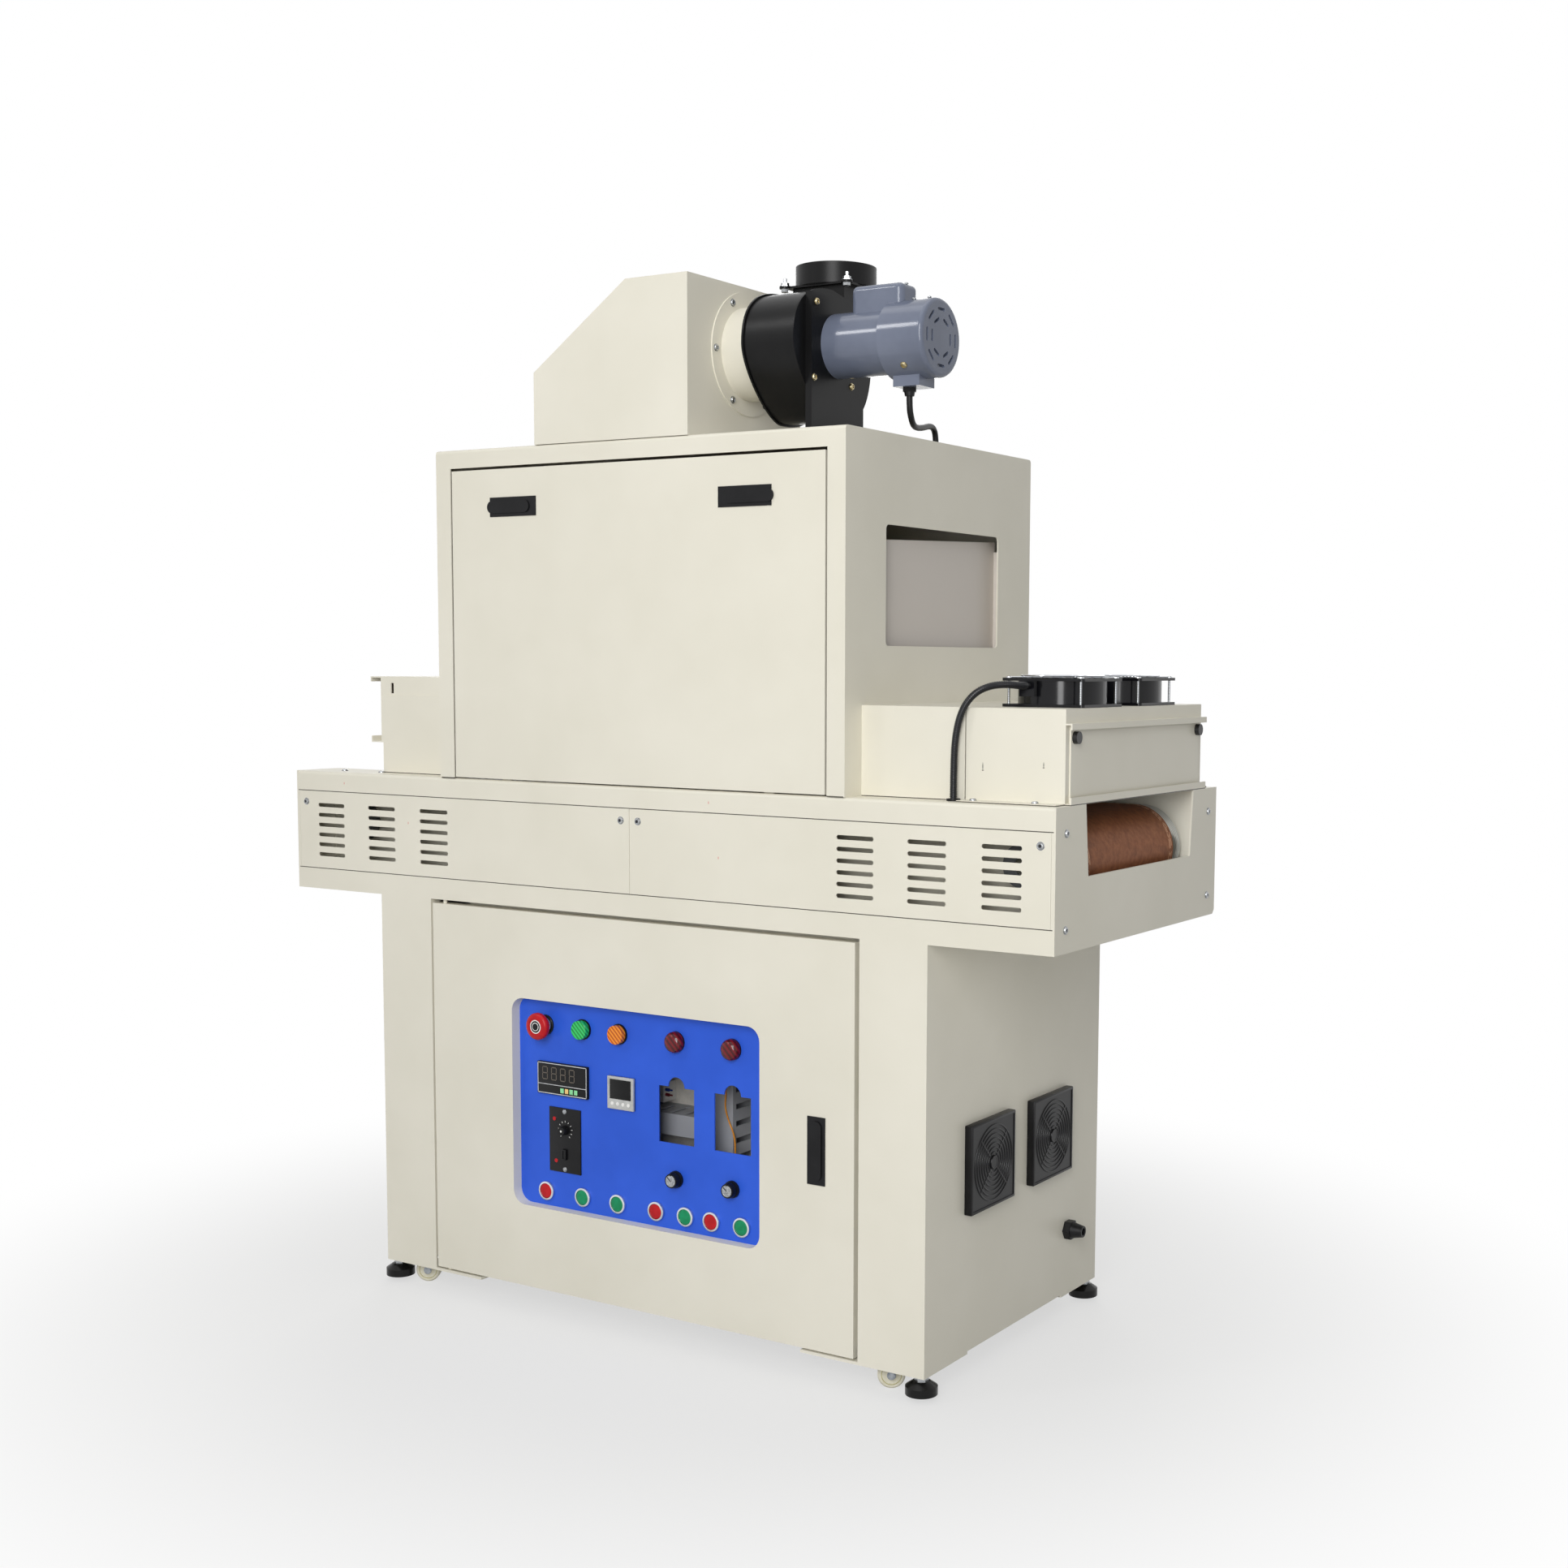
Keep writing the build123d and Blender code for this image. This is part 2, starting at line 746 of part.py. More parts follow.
with BuildPart() as door_latch:
    with BuildSketch(Plane.XZ.offset(half_depth)):
        with Locations((latch_x, latch_centre_z)):
            Rectangle(latch_width, latch_height)
    extrude(amount=latch_plate)
    with BuildSketch(Plane.XZ.offset(half_depth + latch_plate)):
        with Locations((latch_x, latch_centre_z)):
            SlotOverall(latch_height - handle_inset_z, latch_width - handle_inset_x, rotation=90)
    extrude(amount=handle_rise)
    with BuildSketch(Plane.XZ.offset(half_depth)):
        with Locations((latch_x, latch_centre_z)):
            body_width = latch_width - body_inset_x - 2 * fit_gap
            Rectangle(body_width, latch_height - body_inset_z - 2 * fit_gap)
    extrude(amount=-door_latch_body)
    with BuildSketch(Plane.XZ.offset(half_depth - door_latch_body)):
        with Locations((latch_x, latch_centre_z - tongue_drop)):
            Rectangle(tongue_width, tongue_length)
    extrude(amount=-tongue_thickness)
door_latch.part.label = "door_latch"
export_step(door_latch.part, "parts/door_latch.step")

# Control panel carried behind the door's window, with holes for the controls and two empty cut-outs

panel_half = 240
panel_low = 148
panel_high = 494
column_xs = (-174, -103, -35)
keyhole_xs = (69, 168)
keyhole_width = 63
keyhole_low = 290
keyhole_high = 372
keyhole_radius = 14.5
lamp_z = 438
dial_z = 239
button_z = 187
button_xs = (-174, -104, -38, 33, 86, 132, 185)
meter_spot = (-140, 359)
meter_size = (96, 48)
controller_spot = (-30, 352)
controller_size = (48, 48)
speed_spot = (-138, 267.5)
speed_size = (60, 97)
body_radius = 11
body_length = 26
cutout_margin = 3
lamp_spots = [(x, lamp_z) for x in column_xs[1:] + keyhole_xs]
button_spots = [(x, button_z) for x in button_xs]
stop_spot = (column_xs[0], lamp_z)
dial_spots = [(x, dial_z) for x in keyhole_xs]
dial_shaft = 3

with BuildPart() as control_panel:
    with BuildSketch(Plane.XZ.offset(-panel_front)):
        with Locations((0, (panel_low + panel_high) / 2)):
            Rectangle(2 * panel_half, panel_high - panel_low)
        with Locations(stop_spot, *lamp_spots, *button_spots):
            Circle(body_radius + fit_gap, mode=Mode.SUBTRACT)
        with Locations(*dial_spots):
            Circle(dial_shaft + running_gap, mode=Mode.SUBTRACT)
        instruments = ((meter_spot, meter_size), (controller_spot, controller_size), (speed_spot, speed_size))
        for spot, size in instruments:
            with Locations(spot):
                Rectangle(size[0] - 2 * cutout_margin, size[1] - 2 * cutout_margin, mode=Mode.SUBTRACT)
        for x in keyhole_xs:
            with Locations((x, (keyhole_low + keyhole_high) / 2)):
                Rectangle(keyhole_width, keyhole_high - keyhole_low, mode=Mode.SUBTRACT)
            with Locations((x, keyhole_high)):
                Circle(keyhole_radius, mode=Mode.SUBTRACT)
    extrude(amount=-thin_sheet)
control_panel.part.label = "control_panel"
export_step(control_panel.part, "parts/control_panel.step")


def control_stack(spots, layers):
    """Round control at each spot, built forward from the panel: (radius, height, taper) per layer."""
    with BuildPart() as control:
        start = -panel_front
        for radius, height, taper in layers:
            with BuildSketch(Plane.XZ.offset(start)):
                with Locations(*spots):
                    Circle(radius)
            extrude(amount=height, taper=taper)
            start += height
        with BuildSketch(Plane.XZ.offset(-panel_front)):
            with Locations(*spots):
                Circle(body_radius)
        extrude(amount=-body_length)
    return control.part


# Controls on the panel: mushroom stop, lamps, push buttons and the three square instruments

bezel_radius = 14.5
collar_height = 3
mushroom_radius = 20
mushroom_height = 12
dome_radius = 14

stop_collar = (bezel_radius + 0.5, collar_height, 0)
stop_stem = (body_radius, 9.5, 0)
mushroom_rim = (mushroom_radius, mushroom_height * 2 / 3, 0)
mushroom_crown = (mushroom_radius, mushroom_height / 3, 30)
emergency_stop = control_stack([stop_spot], [stop_collar, stop_stem, mushroom_rim, mushroom_crown])
emergency_stop.label = "emergency_stop"
export_step(emergency_stop, "parts/emergency_stop.step")

lamp_bezel = (bezel_radius, collar_height, 0)
lamp_lens = (bezel_radius - 2.5, 9, 8)
flat_lamps = control_stack(lamp_spots[:2], [lamp_bezel, lamp_lens])
dome_wall = (dome_radius, 8, 0)
dome_crown = (dome_radius, 6, 35)
domed_lamps = control_stack(lamp_spots[2:], [stop_collar, dome_wall, dome_crown])
pilot_lamps = Compound(children=[flat_lamps, domed_lamps])
pilot_lamps.label = "pilot_lamps"
export_step(pilot_lamps, "parts/pilot_lamps.step")

button_ring = (bezel_radius, 5, 0)
button_cap = (bezel_radius - 4, 2, 0)
push_buttons = control_stack(button_spots, [button_ring, button_cap])
push_buttons.label = "push_buttons"
export_step(push_buttons, "parts/push_buttons.step")

instrument_bezel = 5
instrument_body = 50
instrument_corner = 1.5
speed_body = 30
speed_knob_radius = 8
speed_knob_height = 11
speed_knob_taper = 6
speed_knob_spot = (speed_spot[0] + 1, speed_spot[1] + 16)

with BuildPart() as panel_instruments:
    for spot, size, bezel, body in (
        (meter_spot, meter_size, instrument_bezel, instrument_body),
        (controller_spot, controller_size, instrument_bezel, instrument_body),
        (speed_spot, speed_size, thin_sheet, speed_body),
    ):
        with BuildSketch(Plane.XZ.offset(-panel_front)):
            with Locations(spot):
                RectangleRounded(size[0], size[1], instrument_corner)
        extrude(amount=bezel)
        with BuildSketch(Plane.XZ.offset(-panel_front)):
            with Locations(spot):
                inset = 2 * (cutout_margin + fit_gap)
                Rectangle(size[0] - inset, size[1] - inset)
        extrude(amount=-body)
    with BuildSketch(Plane.XZ.offset(-panel_front + thin_sheet)):
        with Locations(speed_knob_spot):
            Circle(speed_knob_radius)
    extrude(amount=speed_knob_height, taper=speed_knob_taper)
panel_instruments.part.label = "panel_instruments"
export_step(panel_instruments.part, "parts/panel_instruments.step")

# Two rotary dials, each a skirted knob with a pointer flat on its own shaft

dial_gap = 1
dial_skirt = 12.5
dial_skirt_height = 4
dial_cap = 9
dial_cap_height = 11
pointer_width = 2.5
pointer_length = 5
shaft_behind = 12

for name, spot in zip(("left_dial", "right_dial"), dial_spots):
    with BuildPart() as dial:
        with BuildSketch(Plane.XZ.offset(-panel_front + dial_gap)):
            with Locations(spot):
                Circle(dial_skirt)
        extrude(amount=dial_skirt_height)
        with BuildSketch(Plane.XZ.offset(-panel_front + dial_gap + dial_skirt_height)):
            with Locations(spot):
                Circle(dial_cap)
                with Locations((0, dial_cap - 1)):
                    Rectangle(pointer_width, pointer_length)
        extrude(amount=dial_cap_height)
        with BuildSketch(Plane.XZ.offset(-panel_front + dial_gap)):
            with Locations(spot):
                Circle(dial_shaft)
        extrude(amount=-dial_gap - thin_sheet - shaft_behind)
    dial.part.label = name
    export_step(dial.part, "parts/" + name + ".step")

# Hood casing: front frame, top and back in one bent sheet

with BuildPart() as hood_casing:
    wrap_half = hood_half - thin_sheet
    with BuildSketch(Plane.YZ.offset(-wrap_half)) as wrap:
        with Locations((0, frame_top + hood_height / 2)):
            Rectangle(machine_depth, hood_height)
        fillet(wrap.vertices().group_by(Axis.Y)[-1], fold_radius)
        with Locations((0, frame_top + (hood_height - thin_sheet) / 2)):
            Rectangle(machine_depth - 2 * thin_sheet, hood_height - thin_sheet, mode=Mode.SUBTRACT)
    extrude(amount=2 * wrap_half)
    opening = (-hood_opening_half, hood_opening_half)
    front = (-half_depth, thin_sheet - half_depth)
    span_block(opening, front, (frame_top, hood_opening_top), mode=Mode.SUBTRACT)
hood_casing.part.label = "hood_casing"
export_step(hood_casing.part, "parts/hood_casing.step")

# Hood side panels with the goods passage, the window and the bent baffle behind it

baffle_half = 175
baffle_bottom = side_window_bottom - 14
baffle_front_top = frame_top + 342.4
baffle_rear_top = frame_top + 356.9

with BuildPart() as hood_sides:
    for side in (-1, 1):
        with BuildSketch(Plane.YZ.offset(side * wrap_half)) as wall:
            with Locations((0, frame_top + hood_height / 2)):
                Rectangle(machine_depth, hood_height)
            fillet(wall.vertices().group_by(Axis.Y)[-1], fold_radius)
            with Locations((0, (side_window_bottom + side_window_top) / 2)):
                RectangleRounded(
                    2 * side_window_half,
                    side_window_top - side_window_bottom,
                    side_window_radius,
                    mode=Mode.SUBTRACT,
                )
            with Locations((0, frame_top + passage_height / 2)):
                Rectangle(2 * passage_half, passage_height, mode=Mode.SUBTRACT)
        extrude(amount=side * thin_sheet)
        with BuildSketch(Plane.YZ.offset(side * (wrap_half - baffle_gap))):
            with BuildLine():
                Polyline(
                    (-baffle_half, baffle_bottom),
                    (baffle_half, baffle_bottom),
                    (baffle_half, baffle_rear_top),
                    (-baffle_half, baffle_front_top),
                    close=True,
                )
            make_face()
        extrude(amount=-side * thin_sheet)
        for end in (-1, 1):
            leg = on_side(end, baffle_half - thin_sheet, baffle_half)
            leg_x = on_side(side, wrap_half - baffle_gap, wrap_half)
            span_block(leg_x, leg, (baffle_bottom, baffle_front_top))
hood_sides.part.label = "hood_sides"
export_step(hood_sides.part, "parts/hood_sides.step")

# Lift-off access panel: a folded pan that stands on two tabs and is held by the latches

hood_latch_xs = (-212, 202)
hood_latch_width = 88
hood_latch_height = 28
hood_latch_inset = 6
hood_latch_body = 16
tab_x = 237
tab_half = 8

with BuildPart() as hood_panel:
    panel_bottom = frame_top + hood_panel_lift
    panel_back = hood_panel_depth - half_depth
    span_block((-hood_panel_half, hood_panel_half), (-half_depth, panel_back), (panel_bottom, hood_panel_top))
    span_block(
        (thin_sheet - hood_panel_half, hood_panel_half - thin_sheet),
        (thin_sheet - half_depth, panel_back),
        (panel_bottom + thin_sheet, hood_panel_top - thin_sheet),
        mode=Mode.SUBTRACT,
    )
    for side in (-1, 1):
        tab = (side * tab_x - tab_half, side * tab_x + tab_half)
        tab_y = (fold_radius + thin_sheet - half_depth, fold_radius + 2 * thin_sheet - half_depth)
        span_block(tab, tab_y, (frame_top, panel_bottom))
    with BuildSketch(Plane.XZ.offset(half_depth)):
        with Locations(*[(x, latch_z) for x in hood_latch_xs]):
            Rectangle(hood_latch_width - hood_latch_inset, hood_latch_height - hood_latch_inset)
    extrude(amount=-thin_sheet, mode=Mode.SUBTRACT)
hood_panel.part.label = "hood_panel"
export_step(hood_panel.part, "parts/hood_panel.step")

# Latches of the access panel, their swing handles pointing outward

handle_shift = 8
hood_handle_inset = 10

with BuildPart() as hood_latches:
    spots = [(x, latch_z) for x in hood_latch_xs]
    with BuildSketch(Plane.XZ.offset(half_depth)):
        with Locations(*spots):
            Rectangle(hood_latch_width, hood_latch_height)
    extrude(amount=latch_plate)
    with BuildSketch(Plane.XZ.offset(half_depth + latch_plate)):
        for x in hood_latch_xs:
            outward = 1 if x > 0 else -1
            with Locations((x + outward * handle_shift, latch_z)):
                SlotOverall(hood_latch_width - handle_shift, hood_latch_height - hood_handle_inset)
    extrude(amount=handle_rise)
    with BuildSketch(Plane.XZ.offset(half_depth)):
        with Locations(*spots):
            inset = hood_latch_inset + 2 * fit_gap
            Rectangle(hood_latch_width - inset, hood_latch_height - inset)
    extrude(amount=-hood_latch_body)
hood_latches.part.label = "hood_latches"
export_step(hood_latches.part, "parts/hood_latches.step")

# Light tunnels beside the hood: side walls at the inlet, a closed channel at the outlet

tunnel_top = frame_top + tunnel_height
tunnel_inside = tunnel_half - thin_sheet

with BuildPart() as tunnel_covers:
    for side in (-1, 1):
        wall = on_side(side, tunnel_inside, tunnel_half)
        span_block((tunnel_left, -hood_half), wall, (frame_top, tunnel_top))
        span_block((hood_half, tunnel_seam), wall, (frame_top, tunnel_top))
    span_block((hood_half, tunnel_seam), (-tunnel_half, tunnel_half), (tunnel_top - thin_sheet, tunnel_top))
tunnel_covers.part.label = "tunnel_covers"
export_step(tunnel_covers.part, "parts/tunnel_covers.step")


def mouth_lips(end_x, out, reach_out, half_width, low, high, drop):
    """Folded lips that hold a shutter plate at a mouth; out is the way the mouth faces along X."""
    width = (-half_width, half_width)
    reach = end_x + out * reach_out
    shelf = tuple(sorted((end_x - out * shelf_inset, reach)))
    fold = tuple(sorted((reach - out * thin_sheet, reach)))
    upper = high - drop
    span_block(tuple(sorted((end_x - out * thin_sheet, end_x))), width, (upper - thin_sheet, high))
    span_block(tuple(sorted((end_x - out * thin_sheet, reach))), width, (upper - thin_sheet, upper))
    span_block(fold, width, (upper - lip_fold, upper))
    span_block(shelf, width, (low, low + thin_sheet))
    span_block(fold, width, (low, low + lip_fold + thin_sheet))
    for side in (-1, 1):
        strip = on_side(side, half_width - jamb_width, half_width)
        span_block(tuple(sorted((end_x - out * thin_sheet, end_x))), strip, (low, high))


# Inlet shroud: raised hood between the inlet walls, clamped through a slot in each side

shroud_half = tunnel_inside - fit_gap
shroud_low = frame_top + shroud_lift
shroud_high = shroud_low + shroud_height
shroud_right = -hood_half - 0.5
slot_x = -507
slot_half = 3
slot_rise = 16

with BuildPart() as inlet_shroud:
    for side in (-1, 1):
        wall = on_side(side, shroud_half - thin_sheet, shroud_half)
        span_block((shroud_left, shroud_right), wall, (shroud_low, shroud_high))
    roof = (shroud_high - thin_sheet, shroud_high)
    span_block((shroud_left, shroud_right), (-shroud_half, shroud_half), roof)
    mouth_lips(shroud_left, -1, inlet_lip_reach, shroud_half, shroud_low, shroud_high, 0)
    clamp_slot = (slot_x - slot_half, slot_x + slot_half)
    clamp_slot_z = (tunnel_top + slot_half, tunnel_top + slot_half + slot_rise)
    for side in (-1, 1):
        wall = on_side(side, shroud_half - thin_sheet, shroud_half)
        span_block(clamp_slot, wall, clamp_slot_z, mode=Mode.SUBTRACT)
inlet_shroud.part.label = "inlet_shroud"
export_step(inlet_shroud.part, "parts/inlet_shroud.step")

# Cooling cover at the outlet: flanged channel with two fan holes and the mouth's lips

with BuildPart() as cooling_cover:
    length = (tunnel_seam + cover_joint, cover_end)
    for side in (-1, 1):
        wall = on_side(side, tunnel_inside, tunnel_half)
        span_block(length, wall, (frame_top, tunnel_top))
        flange = on_side(side, tunnel_half, cover_flange)
        span_block(length, flange, (frame_top, frame_top + thin_sheet))
    span_block(length, (-tunnel_half, tunnel_half), (tunnel_top - thin_sheet, tunnel_top))
    mouth_lips(cover_end, 1, lip_reach, tunnel_half, frame_top, tunnel_top, cover_lip_drop)
    with BuildSketch(Plane.XY.offset(tunnel_top)):
        with Locations((fan_x, -fan_y), (fan_x, fan_y)):
            Circle(fan_bore)
    extrude(amount=-thin_sheet, mode=Mode.SUBTRACT)
cooling_cover.part.label = "cooling_cover"
export_step(cooling_cover.part, "parts/cooling_cover.step")

# Adjustable shutter plate at each mouth, clamped by two black knobs

with BuildPart() as shutters:
    for out, end_x, low, high in (
        (1, cover_end, frame_top, tunnel_top - cover_lip_drop),
        (-1, shroud_left, shroud_low, shroud_high),
    ):
        plate = tuple(sorted((end_x, end_x + out * thin_sheet)))
        plate_z = (low + thin_sheet, high - thin_sheet - fit_gap)
        plate_half = shutter_half + shutter_margin
        span_block(plate, (-plate_half, plate_half), plate_z)
        with BuildSketch(Plane.YZ.offset(end_x + out * thin_sheet)):
            with Locations(*[(y, high - knob_drop) for y in (-shutter_half, shutter_half)]):
                Circle(knob_radius)
        extrude(amount=out * knob_depth)
shutters.part.label = "shutters"
export_step(shutters.part, "parts/shutters.step")

# Axial fans on the cooling cover: square flanges, round barrel, hub, struts and fixed blades

blade_count = 7
blade_tilt = 38
blade_start = 15
blade_span = 33
blade_chord = 26
blade_thickness = 1.6
strut_width = 5
strut_height = 3
terminal_reach = 8
terminal_x = (568, 590)
terminal_low = 24
terminal_high = 3
fan_bottom = tunnel_top
fan_top = tunnel_top + fan_height

with BuildPart() as fan_housings:
    for y in (-fan_y, fan_y):
        centre = (fan_x, y)
        for base in (fan_bottom, fan_top - fan_flange):
            with BuildSketch(Plane.XY.offset(base)):
                with Locations(centre):
                    RectangleRounded(fan_size, fan_size, plastic_corner)
                    Circle(fan_bore, mode=Mode.SUBTRACT)
            extrude(amount=fan_flange)
        with BuildSketch(Plane.XY.offset(fan_bottom)):
            with Locations(centre):
                Circle(fan_bore + thin_sheet)
                Circle(fan_bore, mode=Mode.SUBTRACT)
        extrude(amount=fan_height)
        with BuildSketch(Plane.XY.offset(fan_bottom)):
            with Locations(centre):
                Circle(fan_hub)
                Rectangle(2 * fan_bore + thin_sheet / 2, strut_width)
                Rectangle(strut_width, 2 * fan_bore + thin_sheet / 2)
        extrude(amount=strut_height)
        with BuildSketch(Plane.XY.offset(fan_bottom + strut_height)):
            with Locations(centre):
                Circle(fan_hub)
        extrude(amount=fan_height - 2 * strut_height)
        for blade in range(blade_count):
            turn = radians(blade * 360 / blade_count + blade_start)
            tilt = radians(blade_tilt)
            outward = Vector(cos(turn), sin(turn), 0)
            along = Vector(-sin(turn) * sin(tilt), cos(turn) * sin(tilt), cos(tilt))
            hub_side = fan_hub + blade_span / 2 - thin_sheet / 2
            middle = Vector(fan_x, y, fan_bottom + fan_height / 2 + thin_sheet) + outward * hub_side
            with BuildSketch(Plane(origin=middle, x_dir=outward, z_dir=along.cross(outward))):
                Rectangle(blade_span, blade_chord)
            extrude(amount=blade_thickness / 2, both=True)
    fan_front = -fan_y - fan_size / 2
    terminal_z = (fan_top - terminal_low, fan_top - terminal_high)
    span_block(terminal_x, (fan_front - terminal_reach, fan_front), terminal_z)
fan_housings.part.label = "fan_housings"
export_step(fan_housings.part, "parts/fan_housings.step")

# Wire finger guards on the fans: rings on two diagonal wires with their corner eyes

ring_radii = [guard_pitch * ring for ring in range(1, 5)]
eye_offset = 52.5
eye_radius = 4

with BuildPart() as finger_guards:
    for y in (-fan_y, fan_y):
        with BuildSketch(Plane.XY.offset(fan_top)):
            with Locations((fan_x, y)):
                for angle in (45, -45):
                    Rectangle(2 * 2**0.5 * eye_offset, guard_wire, rotation=angle)
            with Locations((fan_x, y)):
                with GridLocations(2 * eye_offset, 2 * eye_offset, 2, 2):
                    Circle(eye_radius)
        extrude(amount=guard_wire)
        with BuildSketch(Plane.XY.offset(fan_top + guard_wire)):
            with Locations((fan_x, y)):
                for radius in reversed(ring_radii):
                    Circle(radius + guard_wire / 2)
                    Circle(radius - guard_wire / 2, mode=Mode.SUBTRACT)
        extrude(amount=guard_wire)
finger_guards.part.label = "finger_guards"
export_step(finger_guards.part, "parts/finger_guards.step")

# Exhaust box on the hood: sheet box with one sloped shoulder, and the round inlet collar

box_top = hood_top + box_height

with BuildPart() as exhaust_box:
    with BuildSketch(Plane.XZ.offset(half_depth)):
        with BuildLine():
            Polyline(
                (box_left, hood_top),
                (box_right, hood_top),
                (box_right, box_top),
                (slope_x, box_top),
                (box_left, hood_top + slope_height),
                close=True,
            )
        make_face()
    extrude(amount=-half_depth - box_rear)
    offset(amount=-thin_sheet, openings=exhaust_box.faces().sort_by(Axis.Z)[0])
    with BuildSketch(Plane.YZ.offset(box_right)):
        with Locations((blower_y, blower_z)):
            Circle(collar_flange_radius)
    extrude(amount=thin_sheet)
    with BuildSketch(Plane.YZ.offset(box_right)):
        with Locations((blower_y, blower_z)):
            Circle(collar_radius)
    extrude(amount=scroll_left - box_right)
    with BuildSketch(Plane.YZ.offset(scroll_left)):
        with Locations((blower_y, blower_z)):
            Circle(collar_radius - thin_sheet)
    extrude(amount=box_right - scroll_left - 2 * thin_sheet, mode=Mode.SUBTRACT)
exhaust_box.part.label = "exhaust_box"
export_step(exhaust_box.part, "parts/exhaust_box.step")

# Blower: spiral scroll with rolled rims, square neck, eared outlet flange and the pedestal plate


def scroll_outline(growth):
    """Closed spiral about the blower's axis, widened by growth; the radius grows towards the outlet."""
    with BuildSketch() as outline:
        with BuildLine():
            Spline(
                (blower_y, blower_z + scroll_top + growth),
                (blower_y - scroll_front - growth, blower_z),
                (blower_y, blower_z - scroll_bottom - growth),
                (blower_y + scroll_rear + growth, blower_z),
                tangents=((-1, 0), (0, -1), (1, 0), (0, 1)),
            )
            Polyline(
                (blower_y + scroll_rear + growth, blower_z),
                (neck_rear + growth, blower_z + neck_rise),
                (blower_y, blower_z + scroll_top + growth),
            )
        make_face()
    return outline.sketch


rim_width = 3
rim_growth = 2.5
ear_x = 52
ear_radius = 8
neck_wall = 3
throat_depth = 90
plate_front = -184
plate_rear = -54
plate_waist = -66
waist_low = hood_top + 79
waist_high = hood_top + 109
plate_high = hood_top + 191
plate_foot = 32

with BuildPart() as blower_scroll:
    with BuildSketch(Plane.YZ.offset(scroll_left)):
        add(scroll_outline(0))
        with Locations(((neck_front + neck_rear) / 2, (blower_z + neck_rise + flange_z) / 2)):
            Rectangle(neck_rear - neck_front, flange_z - blower_z - neck_rise)
    extrude(amount=scroll_right - scroll_left)
    for start in (scroll_left, scroll_right - rim_width):
        with BuildSketch(Plane.YZ.offset(start)):
            add(scroll_outline(rim_growth))
        extrude(amount=rim_width)
    with BuildSketch(Plane.XY.offset(flange_z)):
        with Locations((outlet_x, outlet_y)):
            Rectangle(2 * ear_x, 2 * ear_x)
            with GridLocations(2 * ear_x, 2 * ear_x, 2, 2):
                Circle(ear_radius)
    extrude(amount=frame_sheet)
    with BuildSketch(Plane.XY.offset(flange_z + frame_sheet)):
        with Locations((outlet_x, outlet_y)):
            Circle(outlet_radius)
    extrude(amount=outlet_height)
    with BuildSketch(Plane.XY.offset(flange_z + frame_sheet)):
        with Locations((outlet_x, outlet_y)):
            Circle(outlet_radius - thin_sheet)
    extrude(amount=outlet_height, mode=Mode.SUBTRACT)
    with BuildSketch(Plane.XY.offset(flange_z + frame_sheet)):
        with Locations((outlet_x, outlet_y)):
            throat = neck_rear - neck_front - 2 * neck_wall
            Rectangle(throat, throat)
    extrude(amount=-throat_depth, mode=Mode.SUBTRACT)
    plate_left = bracket_right - frame_sheet
    with BuildSketch(Plane.YZ.offset(plate_left)):
        with BuildLine():
            Polyline(
                (plate_front, hood_top),
                (plate_rear, hood_top),
                (plate_rear, waist_low),
                (plate_waist, waist_high),
                (plate_waist, plate_high),
                (plate_front, plate_high),
                close=True,
            )
        make_face()
    extrude(amount=frame_sheet)
    flange_y = (plate_front, plate_front + frame_sheet)
    span_block((scroll_right, plate_left), flange_y, (hood_top, plate_high))
    foot_span = (plate_left - plate_foot, plate_left)
    span_block(foot_span, (plate_front, plate_rear), (hood_top, hood_top + frame_sheet))
blower_scroll.part.label = "blower_scroll"
export_step(blower_scroll.part, "parts/blower_scroll.step")

# Blower motor: smooth body, wider end bell with vents, capacitor box and terminal box

capacitor_bottom = blower_z + 37
capacitor_top = blower_z + 75
capacitor_x = 334
capacitor_length = 82
capacitor_width = 44
terminal_box = (361, 402)
capacitor_corner = 10
capacitor_edge = 8
terminal_half = 20
terminal_bottom = blower_z - 63
bell_fillet = 6
vent_width = 4
vent_depth = 4
outer_vents = (8, 37)
inner_vents = (6, 24)
gland_x = 375

with BuildPart() as blower_motor:
    with BuildSketch(Plane.YZ.offset(bracket_right)):
        with Locations((blower_y, blower_z)):
            Circle(motor_radius)
    extrude(amount=motor_end - bracket_right)
    with BuildSketch(Plane.YZ.offset(motor_end)):
        with Locations((blower_y, blower_z)):
            Circle(bell_radius)
    extrude(amount=bell_end - motor_end)
    fillet(blower_motor.edges().filter_by(GeomType.CIRCLE).sort_by(Axis.X)[-1], bell_fillet)
    with BuildSketch(Plane.YZ.offset(bell_end)):
        for count, radius in (outer_vents, inner_vents):
            with Locations((blower_y, blower_z)):
                with PolarLocations(radius, count):
                    SlotOverall(vent_width * radius / count, vent_width, rotation=90)
    extrude(amount=-vent_depth, mode=Mode.SUBTRACT)
    with BuildSketch(Plane.XY.offset(capacitor_bottom)):
        with Locations((capacitor_x, blower_y)):
            RectangleRounded(capacitor_length, capacitor_width, capacitor_corner)
    extrude(amount=capacitor_top - capacitor_bottom)
    fillet(blower_motor.faces().sort_by(Axis.Z)[-1].edges(), capacitor_edge)
    terminal_y = (blower_y - terminal_half, blower_y + terminal_half)
    span_block(terminal_box, terminal_y, (terminal_bottom, blower_z - motor_radius))
blower_motor.part.label = "blower_motor"
export_step(blower_motor.part, "parts/blower_motor.step")

small_gland_flat = 9
small_gland_hex = 5
small_gland_nut = 7.5
small_gland_dome = 6
gland_bottom = terminal_bottom - small_gland_hex - small_gland_dome
lead_radius = 4.25

